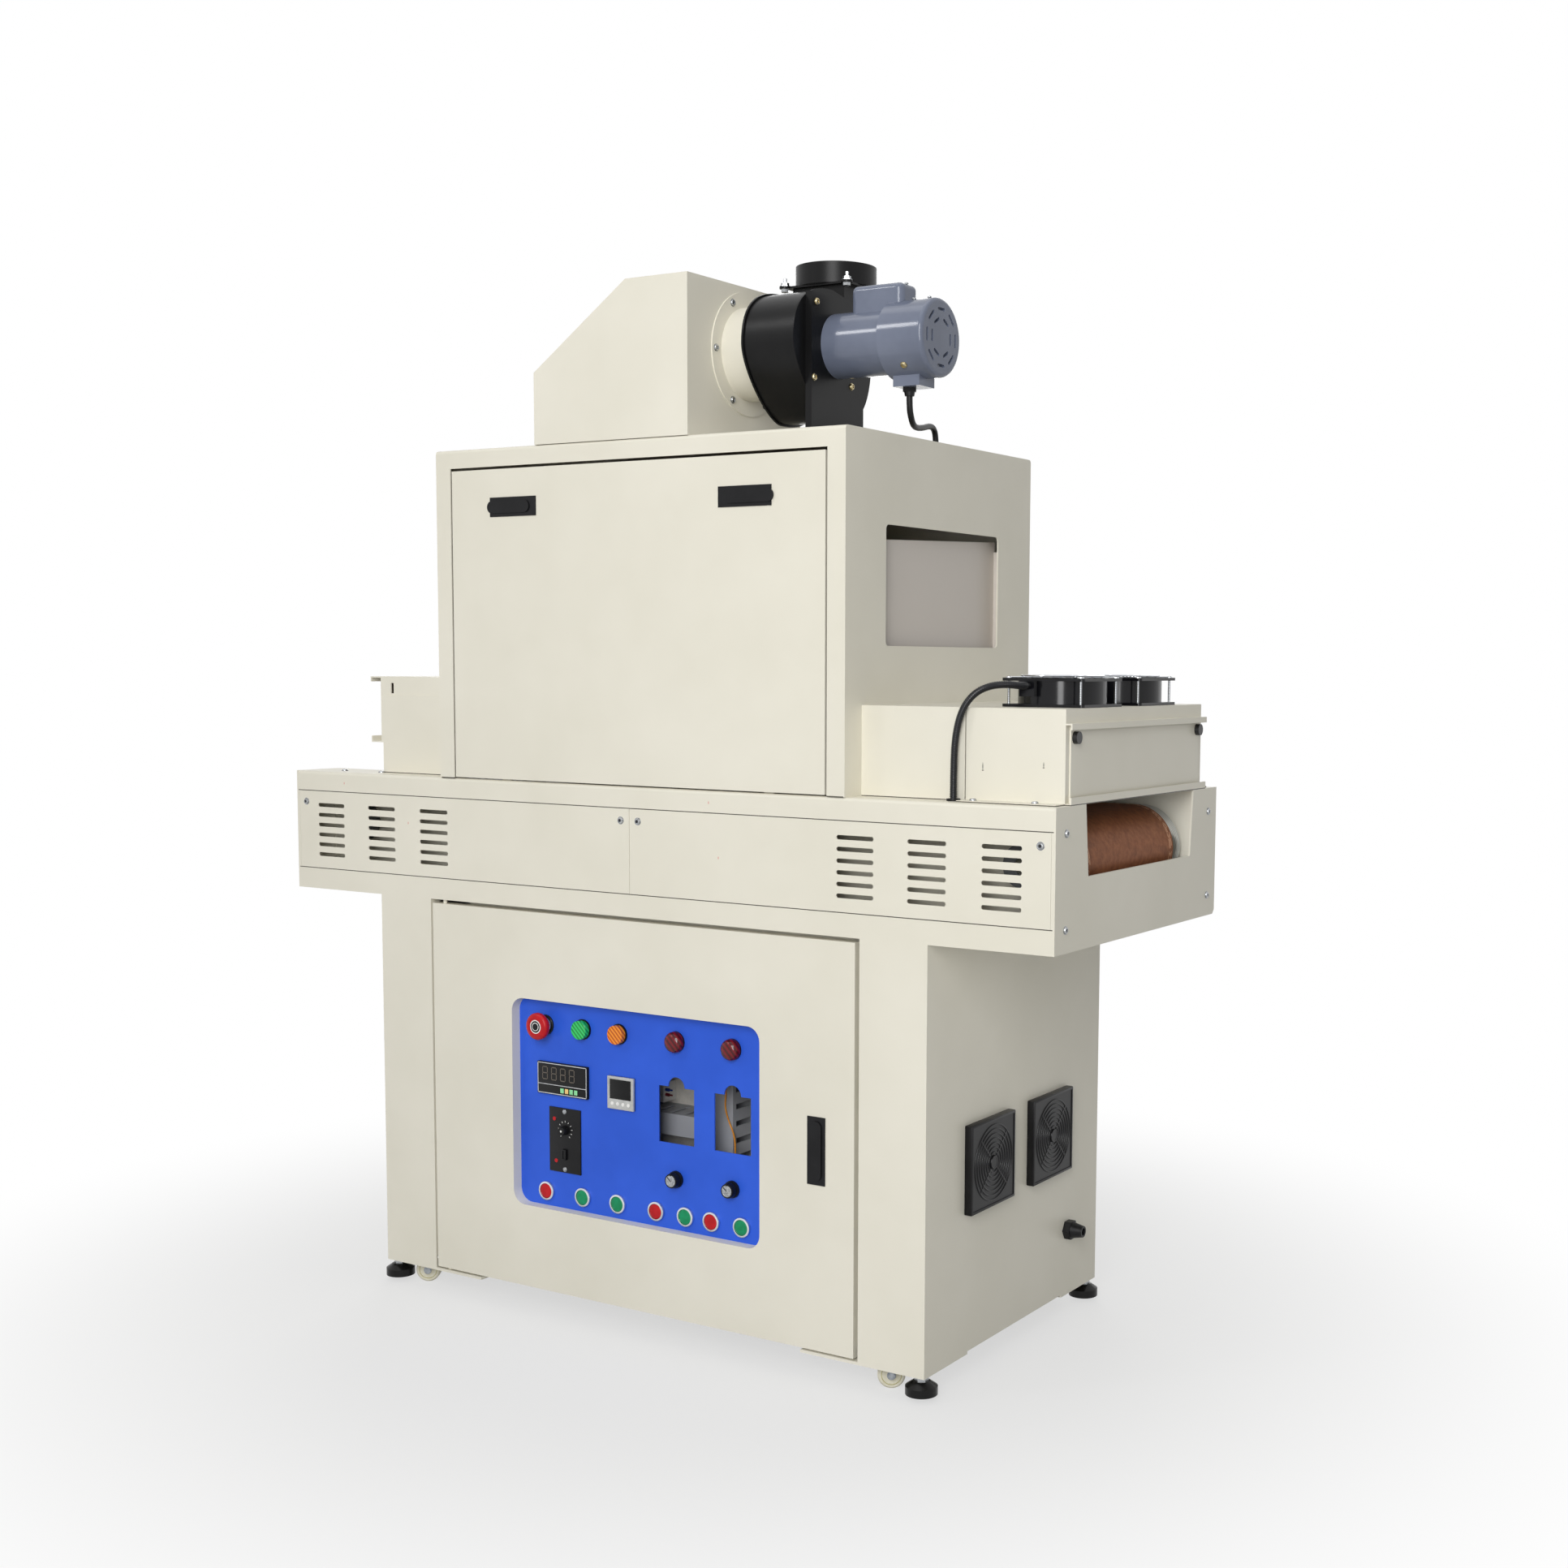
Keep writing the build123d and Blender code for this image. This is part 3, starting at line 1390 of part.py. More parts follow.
with BuildPart() as motor_gland:
    with BuildSketch(Plane.XY.offset(terminal_bottom)):
        with Locations((gland_x, blower_y)):
            RegularPolygon(small_gland_flat, 6, major_radius=False)
    extrude(amount=-small_gland_hex)
    with BuildSketch(Plane.XY.offset(terminal_bottom - small_gland_hex)):
        with Locations((gland_x, blower_y)):
            Circle(small_gland_nut)
    extrude(amount=-small_gland_dome, taper=10)
motor_gland.part.label = "motor_gland"
export_step(motor_gland.part, "parts/motor_gland.step")


def cord_tube(points, radius):
    """Round tube along straight runs joined by tangent arcs as large as the runs allow."""
    corners = [Vector(*point) for point in points]
    runs = [after - before for before, after in zip(corners, corners[1:])]
    radii = []
    for before, after in zip(runs, runs[1:]):
        turn = radians(before.get_angle(after))
        radii.append(0.45 * min(before.length, after.length) / tan(turn / 2))
    with BuildPart() as tube:
        with BuildLine() as route:
            FilletPolyline(*points, radius=radii)
        with BuildSketch(Plane(origin=points[0], z_dir=runs[0])):
            Circle(radius)
        sweep()
    length = sum(edge.length for edge in route.edges())
    share = tube.part.volume / (pi * radius**2 * length)
    print("tightest bend", round(min(radii), 1), "length", round(length, 1), "volume share", round(share, 4))
    return tube.part


# Motor lead from the gland over the hood's edge to a grommet on the hood's top

grommet_spot = (330, 29)
lead_route = [
    (gland_x, blower_y, gland_bottom),
    (gland_x, blower_y, gland_bottom - 15),
    (373.4, -111, gland_bottom - 28),
    (369, -98, gland_bottom - 36),
    (361, -76, gland_bottom - 37),
    (351, -42, gland_bottom - 33),
    (339, -6, gland_bottom - 26),
    (332, 18, gland_bottom - 25),
    (grommet_spot[0], grommet_spot[1], gland_bottom - 35),
    (grommet_spot[0], grommet_spot[1], hood_top),
]
motor_lead = cord_tube(lead_route, lead_radius)
motor_lead.label = "motor_lead"
export_step(motor_lead, "parts/motor_lead.step")

# Fan conduit from the front fan's terminal block down into the frame

conduit_radius = 5
conduit_end = (511, -226)
conduit_route = [
    (579, fan_front - terminal_reach, fan_top - 10),
    (579, -172, fan_top - 10),
    (569, -190, fan_top - 8),
    (552, -206, fan_top - 10),
    (535, -218, fan_top - 20),
    (521, -225, fan_top - 42),
    (513, -226.5, fan_top - 76),
    (conduit_end[0], conduit_end[1], fan_top - 118),
    (conduit_end[0], conduit_end[1], frame_top),
]
fan_conduit = cord_tube(conduit_route, conduit_radius)
fan_conduit.label = "fan_conduit"
export_step(fan_conduit, "parts/fan_conduit.step")

# Rubber grommets around both lines

grommet_wall = 4
grommet_height = 3

with BuildPart() as cable_grommets:
    with BuildSketch(Plane.XY.offset(frame_top)):
        with Locations(conduit_end):
            Circle(conduit_radius + grommet_wall)
            Circle(conduit_radius + fit_gap, mode=Mode.SUBTRACT)
    extrude(amount=grommet_height)
    with BuildSketch(Plane.XY.offset(hood_top)):
        with Locations(grommet_spot):
            Circle(lead_radius + 1 + grommet_wall)
            Circle(lead_radius + 1, mode=Mode.SUBTRACT)
    extrude(amount=grommet_height)
cable_grommets.part.label = "cable_grommets"
export_step(cable_grommets.part, "parts/cable_grommets.step")
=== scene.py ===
import json
from math import cos, pi, radians, sin

import bmesh
import bpy
from mathutils import Matrix, Vector


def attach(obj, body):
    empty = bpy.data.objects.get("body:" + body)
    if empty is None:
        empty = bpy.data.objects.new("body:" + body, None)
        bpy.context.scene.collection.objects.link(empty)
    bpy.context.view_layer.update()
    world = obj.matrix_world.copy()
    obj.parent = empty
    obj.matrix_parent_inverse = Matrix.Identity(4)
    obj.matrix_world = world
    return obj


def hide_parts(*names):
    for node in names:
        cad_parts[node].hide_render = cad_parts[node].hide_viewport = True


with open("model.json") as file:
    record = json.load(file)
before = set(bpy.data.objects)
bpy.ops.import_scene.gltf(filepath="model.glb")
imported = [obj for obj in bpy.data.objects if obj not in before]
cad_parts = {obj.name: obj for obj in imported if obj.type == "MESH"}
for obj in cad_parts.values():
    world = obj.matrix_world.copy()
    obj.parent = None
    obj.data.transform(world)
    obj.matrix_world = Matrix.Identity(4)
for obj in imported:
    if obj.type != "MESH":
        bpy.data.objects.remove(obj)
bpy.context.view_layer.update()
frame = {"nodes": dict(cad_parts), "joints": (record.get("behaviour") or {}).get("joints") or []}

# Sheet-steel casings
# The cabinet, conveyor frame, hood, tunnels and exhaust box are folded steel sheet, welded at the corners,
# degreased and coated with ivory polyester powder. The baked coat is half matt, with a fine orange peel of
# about 1.5 mm and a faint cloudiness that softens every reflection.

nodes = frame["nodes"]
mm = 0.001
ivory_tones = (260, "#DFDBCC", "#E5E1D3")
orange_peel = (1.5, 0.012, 0.6)


def linear(hex_colour):
    """Linear RGBA of an sRGB hex value."""
    parts = [int(hex_colour[place : place + 2], 16) / 255 for place in (1, 3, 5)]
    return (*(p / 12.92 if p <= 0.04045 else ((p + 0.055) / 1.055) ** 2.4 for p in parts), 1.0)


def feed(node, socket, source):
    """Links a source, which is always (node, output), to a socket."""
    node.id_data.links.new(source[0].outputs[source[1]], node.inputs[socket])


def add_node(owner, kind, sockets=None, **settings):
    """Adds a shader node. A socket takes a value or a source."""
    node = owner.node_tree.nodes.new(kind)
    for name, value in settings.items():
        setattr(node, name, value)
    for name, value in (sockets or {}).items():
        if isinstance(value, tuple) and isinstance(value[0], bpy.types.Node):
            feed(node, name, value)
        else:
            node.inputs[name].default_value = value
    return node


def new_finish(name, colour, roughness, metallic=0.0, **sockets):
    """A material, its shader, and the Object coordinates that its patterns read."""
    material = bpy.data.materials.new(name)
    material.use_nodes = True
    shader = material.node_tree.nodes["Principled BSDF"]
    shader.inputs["Base Color"].default_value = linear(colour)
    shader.inputs["Roughness"].default_value = roughness
    shader.inputs["Metallic"].default_value = metallic
    for socket, value in sockets.items():
        shader.inputs[socket.replace("_", " ")].default_value = value
    material.diffuse_color = linear(colour)
    return material, shader, add_node(material, "ShaderNodeTexCoord")


def noise(material, place, size_mm, detail, roughness):
    """Noise with cells of a real size."""
    sockets = {"Vector": (place, "Object"), "Scale": 1000 / size_mm, "Detail": detail, "Roughness": roughness}
    return add_node(material, "ShaderNodeTexNoise", sockets), "Fac"


def raised(material, shader, height, height_mm, strength):
    """Bump from a source, with its real height."""
    sockets = {"Height": height, "Distance": height_mm * mm, "Strength": strength}
    feed(shader, "Normal", (add_node(material, "ShaderNodeBump", sockets), "Normal"))


def grain(material, shader, place, size_mm, height_mm, strength):
    """Bump of a surface grain: its size and height in real millimetres."""
    raised(material, shader, noise(material, place, size_mm, 2.0, 0.5), height_mm, strength)


def ramped(material, source, low, high):
    """A colour that goes from low to high with a source."""
    ramp = add_node(material, "ShaderNodeValToRGB", {"Fac": source})
    for stop, tone in zip(ramp.color_ramp.elements, (low, high)):
        stop.color = linear(tone)
    return ramp, "Color"


def cloudy(material, shader, place, size_mm, first, second):
    """Slow change between two colours, as in a coat that isn't even."""
    colour = ramped(material, noise(material, place, size_mm, 3.0, 0.6), first, second)
    stops = colour[0].color_ramp.elements
    stops[0].position, stops[1].position = 0.35, 0.65
    feed(shader, "Base Color", colour)
    return colour


def plain_finish(name, colour, roughness, tones, bumps=None, metallic=0.0, **sockets):
    """A finish with cloudy tones (size, two colours) and a grain (size, height, strength) if it has one."""
    material, shader, place = new_finish(name, colour, roughness, metallic, **sockets)
    cloudy(material, shader, place, *tones)
    if bumps:
        grain(material, shader, place, *bumps)
    return material


def coat(material, *names):
    """Gives CAD nodes or pieces their material."""
    for name in names:
        target = nodes[name] if isinstance(name, str) else name
        target.data.materials.clear()
        target.data.materials.append(material)


ivory = plain_finish("ivory_powder_coat_on_steel", "#E3DFD1", 0.42, ivory_tones, orange_peel, IOR=1.5)
coat(ivory, "rear_casing", "side_panels", "frame_floor", "end_plates", "cabinet_floor", "corner_plates")
coat(ivory, "cabinet_door", "hood_panel", "inlet_shroud", "exhaust_box")

# Front casing and slotted covers
# Two loose cover sheets, punched with rows of slots, lie in a recess of the front casing. Along their upper and
# lower edges runs a fine line of painted shadow for the joint. The coat has four faint ticks of red pencil.


def ivory_coat(name, colour="#E3DFD1", roughness=0.42, **sockets):
    """The ivory coat for a piece with marks: its material, shader, coordinates and colour."""
    material, shader, place = new_finish(name, colour, roughness, **sockets)
    return material, shader, place, cloudy(material, shader, place, *ivory_tones)


def painted_where(material, shader, base, mask, colour):
    """Puts a second colour on the base colour where the mask is 1."""
    both = add_node(material, "ShaderNodeMix", {0: mask, 6: base, 7: linear(colour)}, data_type="RGBA")
    feed(shader, "Base Color", (both, 2))
    return both, 2


def coordinate(material, place, axis):
    """One Object coordinate, in metres."""
    return add_node(material, "ShaderNodeSeparateXYZ", {"Vector": (place, "Object")}), axis


def worked(owner, operation, *values):
    """The result of a Math node."""
    return add_node(owner, "ShaderNodeMath", dict(enumerate(values)), operation=operation), "Value"


def joint_mask(material, place, height_mm, half_mm):
    """Mask of a level joint, 1 within half_mm of its height."""
    return worked(material, "COMPARE", coordinate(material, place, "Z"), height_mm * mm, half_mm * mm)


def spot_mask(material, place, centre_mm, halves_mm, depth):
    """Mask of an oval mark, strongest at its middle and 0 at its rim."""
    centre = [value * mm for value in centre_mm]
    halves = [value * mm for value in halves_mm]
    shifted = {0: (place, "Object"), 1: centre}
    from_centre = add_node(material, "ShaderNodeVectorMath", shifted, operation="SUBTRACT")
    scaled = add_node(material, "ShaderNodeVectorMath", {0: (from_centre, 0), 1: halves}, operation="DIVIDE")
    reach = add_node(material, "ShaderNodeVectorMath", {0: (scaled, 0)}, operation="LENGTH")
    fade = {"Value": (reach, "Value"), "From Min": 1.0, "From Max": 0.3, "To Max": depth}
    return add_node(material, "ShaderNodeMapRange", fade), "Result"


# Colour of the painted shadow in the joints between parts.
painted_joint_shadow = "#4F4B42"
pencil_red = "#D98A80"
front_face = -257.5
cover_edges = (768.3, 645.7)
pencil_ticks = ((140, 782.4), (156.6, 706.9), (-570, 782.2), (-432.9, 726.5))

joint_shadowed, shader, place, colour = ivory_coat("ivory_powder_coat_with_painted_joint_shadow", IOR=1.5)
# Painted shadow: a dark line along the upper and lower joint of the covers.
for height in cover_edges:
    joint = joint_mask(joint_shadowed, place, height, 0.65)
    colour = painted_where(joint_shadowed, shader, colour, joint, painted_joint_shadow)
for x, z in pencil_ticks:
    tick = spot_mask(joint_shadowed, place, (x, front_face, z), (1.6, 3, 2.6), 0.7)
    colour = painted_where(joint_shadowed, shader, colour, tick, pencil_red)
grain(joint_shadowed, shader, place, *orange_peel)
coat(joint_shadowed, "front_casing", "front_covers")

# Screws in the covers and end plates
# Button-head machine screws of nickel-plated steel with a washer and a hexagon socket. They are the same
# everywhere, so one is turned and then copied to its places.

smooth_below = radians(38)


def take(*pieces):
    """Selects only these pieces and makes the first one active."""
    bpy.ops.object.select_all(action="DESELECT")
    for piece in pieces:
        piece.select_set(True)
    bpy.context.view_layer.objects.active = pieces[0]


def open_faces(piece, choose):
    """Opens a mesh for editing with only those faces selected that choose returns."""
    bpy.ops.object.mode_set(mode="EDIT")
    bpy.ops.mesh.select_all(action="DESELECT")
    mesh = bmesh.from_edit_mesh(piece.data)
    for face in choose(mesh.faces):
        face.select_set(True)
    bmesh.update_edit_mesh(piece.data)


def top_faces(faces):
    """The faces that look up."""
    return [face for face in faces if face.normal.z > 0.9]


def turned(name, radius, depth, steps, sides):
    """A round piece on Z 0, in mm: a disc whose top face is drawn out by a rise to a radius, step by step."""
    bpy.ops.object.select_all(action="DESELECT")
    middle = (0, 0, depth * mm / 2)
    bpy.ops.mesh.primitive_cylinder_add(vertices=sides, radius=radius * mm, depth=depth * mm, location=middle)
    bpy.ops.object.transform_apply(location=True, rotation=True, scale=True)
    piece = bpy.context.object
    piece.name = name
    open_faces(piece, top_faces)
    for rise, wide in steps:
        bpy.ops.mesh.extrude_region_move(TRANSFORM_OT_translate={"value": (0, 0, rise * mm)})
        spread = wide / radius
        bpy.ops.transform.resize(value=(spread, spread, 1), center_override=(0, 0, 0))
        radius = wide
    bpy.ops.object.mode_set(mode="OBJECT")
    return piece


def joined(name, pieces):
    """Joins shaped pieces of one material into one."""
    take(*pieces)
    if len(pieces) > 1:
        bpy.ops.object.join()
    pieces[0].name = name
    return pieces[0]


def set_in(model, places):
    """Copies a small piece that stands on Z 0 to each (place in mm, facing), as one joined piece."""
    copies = []
    for spot, facing in places:
        twin = model.copy()
        twin.data = model.data.copy()
        turn = Vector((0, 0, 1)).rotation_difference(Vector(facing)).to_matrix().to_4x4()
        twin.matrix_world = Matrix.Translation(Vector(spot) * mm) @ turn
        bpy.context.scene.collection.objects.link(twin)
        copies.append(twin)
    name = model.name
    bpy.data.objects.remove(model)
    return joined(name, copies)


def fitted(piece, material, body, slot, *replaced):
    """Bakes a finished piece's place into its mesh, coats it and lets it ride, in place of CAD nodes if named."""
    take(piece)
    bpy.ops.object.transform_apply(location=True, rotation=True, scale=True)
    if piece.type == "MESH":
        bpy.ops.object.shade_smooth_by_angle(angle=smooth_below)
    coat(material, piece)
    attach(piece, body)
    if replaced:
        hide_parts(*replaced)
    return piece


to_front, to_right, to_left, upward = (0, -1, 0), (1, 0, 0), (-1, 0, 0), (0, 0, 1)
frame_end = 676
button_head = [(0, 4.6), (0.9, 4.5), (0.8, 4.0), (0.4, 2.9), (0, 2.4), (-1.0, 2.2)]

nickel_tones = (3, "#8E9194", "#BABCBE")
nickel = plain_finish("nickel_plated_steel", "#A4A6A9", 0.24, nickel_tones, (0.5, 0.01, 0.5), metallic=1.0)
screw = turned("frame_screws", 5.6, 0.5, button_head, 24)
spots = [((x, front_face, 750.5), to_front) for x in (-655, -15.5, 15.5, 655)]
for way, facing in ((-1, to_left), (1, to_right)):
    spots += [((way * frame_end, y, z), facing) for y in (-228, 228) for z in (643, 765)]
spots += [((x, -222, 799), upward) for x in (-606, -525)]
fitted(set_in(screw, spots), nickel, "dryer", "zinc_plate")
# Painted shade: a dark hexagon sits in the bottom of each frame screw's socket.
socket_shade = plain_finish(
    "painted_shade_in_hex_socket", "#2A2B2D", 0.4, (2, "#222325", "#343538"), metallic=0.6, Specular_IOR_Level=0.3
)
socket = turned("frame_screw_socket_shade", 2.4, 0.9, [(0.75, 2.2)], 6)
fitted(set_in(socket, spots), socket_shade, "dryer", "zinc_plate")

# Levelling feet
# A cone of black nylon on a galvanised stud with two hexagon nuts, screwed up into the corner plate. The nylon
# is moulded with a band round its rim; the zinc is dull grey with lighter crystals.

foot_nylon_top = 26.5
foot, shader, place = new_finish("moulded_nylon_cone_on_zinc_stud", "#0B0B0B", 0.3, Specular_IOR_Level=0.25)
above = worked(foot, "GREATER_THAN", coordinate(foot, place, "Z"), foot_nylon_top * mm)
spangle = add_node(foot, "ShaderNodeTexVoronoi", {"Vector": (place, "Object"), "Scale": 700.0})
zinc_tone = ramped(foot, (spangle, "Distance"), "#9A9DA0", "#C3C6C8")
nylon_or_zinc = {0: above, 6: linear("#0B0B0B"), 7: zinc_tone}
feed(shader, "Base Color", (add_node(foot, "ShaderNodeMix", nylon_or_zinc, data_type="RGBA"), 2))
feed(shader, "Metallic", above)
coat(foot, "levelling_feet")

# Casters
# Forks pressed from 2 mm steel strip and zinc plated; wheels of natural cream nylon, moulded with a hub, that
# turn on a riveted axle with a hexagon head.


def hoop(radius, wire, segments, sides, centre=(0, 0, 0), turn=(0, 0, 0)):
    """A ring of round wire, flat unless turned; sizes in mm."""
    bpy.ops.object.select_all(action="DESELECT")
    bpy.ops.mesh.primitive_torus_add(
        major_radius=radius * mm,
        minor_radius=wire * mm,
        major_segments=segments,
        minor_segments=sides,
        location=[value * mm for value in centre],
        rotation=turn,
    )
    return bpy.context.object


def draw(inset, move):
    """Insets the selected faces and draws them out by a move; both in mm."""
    bpy.ops.mesh.inset(thickness=inset * mm)
    bpy.ops.mesh.extrude_region_move(TRANSFORM_OT_translate={"value": tuple(value * mm for value in move)})


wheel_face = 7.8
seam_radius, seam_wire = 13.6, 0.7
zinc_tones = (7, "#82888F", "#ABAFB4")
zinc = plain_finish("zinc_plated_pressed_steel", "#969BA1", 0.3, zinc_tones, (0.8, 0.01, 0.4), metallic=1.0)
nylon_tones = (14, "#D2CDB6", "#E2DECC")
nylon = plain_finish("moulded_natural_nylon", "#DCD8C4", 0.45, nylon_tones, (1.2, 0.02, 0.5), IOR=1.53)
aged_nylon = plain_finish("yellowed_nylon_moulding_seam", "#B5AE7A", 0.5, (6, "#A9A26C", "#C2BC8C"), IOR=1.53)
for corner in ("front_left", "front_right", "rear_left", "rear_right"):
    coat(zinc, "caster_fork_" + corner)
    coat(nylon, "caster_wheel_" + corner)
    roll = next(joint for joint in frame["joints"] if joint["name"] == "roll_" + corner)
    axle, hub = Vector(roll["axis"]), Vector(roll["pos_m"]) / mm
    seam = hoop(seam_radius, seam_wire, 48, 6)
    seam.name = "wheel_seams_" + corner
    open_faces(seam, top_faces)
    draw(0.15, (0, 0, 0.12))
    bpy.ops.object.mode_set(mode="OBJECT")
    seam_spots = [(hub + axle * way * wheel_face, axle * way) for way in (-1, 1)]
    fitted(set_in(seam, seam_spots), aged_nylon, "wheel_" + corner, "nylon")

# Mounting plate
# A galvanised steel plate behind the door with slotted wiring ducts of grey PVC, which show through the two
# empty cut-outs of the control panel.

plate_front = -120.5
backing, shader, place = new_finish("galvanised_plate_and_grey_pvc_duct", "#A3A2A0", 0.5)
colour = cloudy(backing, shader, place, 11, "#D5D1C8", "#E2DED6")
duct = worked(backing, "LESS_THAN", coordinate(backing, place, "Y"), plate_front * mm)
painted_where(backing, shader, colour, duct, "#A2A4A9")
grain(backing, shader, place, 2.5, 0.02, 0.4)
coat(backing, "mounting_plate")

# Wiring behind the cut-outs
# A white moulded relay on the plate with a blue and a red crimped ferrule, and an orange PVC wire that comes out
# of the upright duct's cover and goes back into it further down.


def largest_towards(direction):
    """A choice for open_faces: the largest of the faces that look in a direction."""
    facing = Vector(direction)
    return lambda faces: [max(faces, key=lambda face: (round(face.normal.dot(facing), 3), face.calc_area()))]


def block(name, x_span, y_span, z_span, rounding, inset=0.0, sink=0.0):
    """A bevelled block over three (low, high) spans in mm; its front face can be inset and sunk."""
    bpy.ops.object.select_all(action="DESELECT")
    spans = (x_span, y_span, z_span)
    centre = [sum(span) / 2 * mm for span in spans]
    size = [(span[1] - span[0]) * mm for span in spans]
    bpy.ops.mesh.primitive_cube_add(size=1, location=centre, scale=size)
    bpy.ops.object.transform_apply(location=True, rotation=True, scale=True)
    piece = bpy.context.object
    piece.name = name
    bpy.ops.object.mode_set(mode="EDIT")
    bpy.ops.mesh.select_all(action="SELECT")
    bpy.ops.mesh.bevel(offset=rounding * mm, segments=2)
    if inset:
        open_faces(piece, largest_towards(to_front))
        draw(inset, (0, sink, 0))
    bpy.ops.object.mode_set(mode="OBJECT")
    return piece


def routed(name, route, radius):
    """A round line on a smooth spline whose control points are in mm."""
    curve = bpy.data.curves.new(name, "CURVE")
    curve.dimensions = "3D"
    curve.bevel_depth = radius * mm
    curve.bevel_resolution = 5
    curve.resolution_u = 20
    curve.use_fill_caps = True
    spline = curve.splines.new("NURBS")
    spline.points.add(len(route) - 1)
    for point, (x, y, z) in zip(spline.points, route):
        point.co = (x * mm, y * mm, z * mm, 1)
    spline.order_u = 3
    spline.use_endpoint_u = True
    line = bpy.data.objects.new(name, curve)
    bpy.context.scene.collection.objects.link(line)
    return line


white_tones = (10, "#DDDCD8", "#EDECE9")
white_plastic = plain_finish("moulded_white_polyamide", "#E6E5E1", 0.4, white_tones, (0.8, 0.01, 0.4), IOR=1.53)
relay = block("relay", (-46, -25), (-150, -120), (321, 351), 0.8, 2.2, 0.6)
fitted(relay, white_plastic, "dryer", "black_plastic")
sleeve = [(6, 2.4), (0.4, 2.0), (0, 1.3), (5, 1.3)]
for name, finish_name, colour, tones, z in (
    ("blue_ferrule", "blue_pvc_sleeve", "#1D3F9A", (4, "#193887", "#2349AE"), 340),
    ("red_ferrule", "dark_red_pvc_sleeve", "#7A1E22", (4, "#6C191C", "#8A262B"), 332.5),
):
    sleeve_finish = plain_finish(finish_name, colour, 0.4, tones, Specular_IOR_Level=0.3)
    ferrule = turned(name, 2.4, 0.6, sleeve, 20)
    fitted(set_in(ferrule, [((-25.4, -145, z), to_right)]), sleeve_finish, "dryer", "black_rubber")
wire_route = [
    (115, -180, 400),
    (115, -184.5, 394),
    (115.2, -184.5, 359),
    (113, -184.5, 338),
    (119, -184.5, 320),
    (128, -184.5, 303),
    (131.5, -184.5, 288),
    (131, -184.5, 262),
    (129, -184.5, 240),
    (121, -184.5, 226),
    (118, -180, 219),
]
wire_tones = (9, "#C97C18", "#E79A36")
orange_pvc = plain_finish("orange_pvc_wire_sheath", "#D98A22", 0.4, wire_tones, Specular_IOR_Level=0.35)
wire = fitted(routed("orange_duct_wire", wire_route, 1.25), orange_pvc, "dryer", "black_rubber")

# Door latch and hood latches
# Swing-handle latches of die-cast zinc under black powder coat, let into the sheet, with a long folding handle
# that lies flush in its tray.

latch_tones = (30, "#0E0E10", "#151517")
black_coat = plain_finish(
    "black_powder_coat_on_die_casting", "#101012", 0.4, latch_tones, (0.9, 0.02, 0.6), Specular_IOR_Level=0.22
)
coat(black_coat, "door_latch", "hood_latches")

# Control panel
# Steel sheet, printed and lacquered in bright blue, that is fixed behind the door's window. It is punched for
# the instruments, lamps and buttons, and for two keyhole cut-outs that stay empty.

blue_tones = (120, "#2D5AD0", "#3260DA")
blue = plain_finish(
    "blue_lacquer_on_steel", "#2F5CD4", 0.34, blue_tones, (1.2, 0.01, 0.5), IOR=1.5, Specular_IOR_Level=0.22
)
coat(blue, "control_panel")

# Push buttons
# Flush buttons of dyed ABS in chrome-plated rings. Each ring is turned with a rounded lip and the cap sits a
# little below it.

panel_face = -240.5
button_z = 187


def on_panel(model, xs, z, proud=0.0):
    """Copies a turned piece to places of one height on the panel's face, or proud of it; in mm."""
    return set_in(model, [((x, panel_face - proud, z), to_front) for x in xs])


def moulded_abs(name, colour, roughness, tones, bumps):
    """Dyed ABS with the fine grain of its mould."""
    return plain_finish(name, colour, roughness, tones, bumps, IOR=1.54, Specular_IOR_Level=0.25)


chrome_tones = (40, "#C6CACF", "#DDDFE2")
chrome = plain_finish("bright_chrome_plating", "#D3D6DA", 0.12, chrome_tones, (6, 0.01, 0.3), metallic=1.0)
cap_grain = (0.7, 0.008, 0.4)
red_plastic = moulded_abs("moulded_red_abs", "#B80F18", 0.3, (12, "#B00C14", "#C2141D"), cap_grain)
green_plastic = moulded_abs("moulded_green_abs", "#078A58", 0.3, (12, "#058050", "#0A9462"), cap_grain)

lipped = [(0, 14.5), (2.4, 14.5), (1.2, 13.9), (0.5, 12.8), (0, 11.4), (-0.9, 10.9), (-2.6, 10.9)]
ring = turned("button_rings", 14.2, 0.8, lipped, 48)
rings = on_panel(ring, (-174, -104, -38, 33, 86, 132, 185), button_z)
fitted(rings, chrome, "door", "chrome_wire", "push_buttons")
for name, material, cap_xs in (
    ("red_button_caps", red_plastic, (-174, 33, 132)),
    ("green_button_caps", green_plastic, (-104, -38, 86, 185)),
):
    cap = turned(name, 10.8, 0.6, [(3.4, 10.7), (0.5, 10.2), (0.25, 9), (-0.1, 5)], 48)
    fitted(on_panel(cap, cap_xs, button_z), material, "door", "black_plastic")

# Emergency stop
# A red mushroom head of moulded plastic on a black stem and collar, with a turned chrome ring between them. Its
# flat middle is printed with a black ring between white circles.

black_tones = (25, "#0B0B0D", "#121214")
black_plastic = plain_finish(
    "moulded_black_abs", "#0D0D0F", 0.36, black_tones, (0.8, 0.015, 0.5), IOR=1.54, Specular_IOR_Level=0.22
)
white_print = plain_finish("white_pad_print", "#E9E9E6", 0.5, (6, "#E2E2DF", "#EFEFEC"))

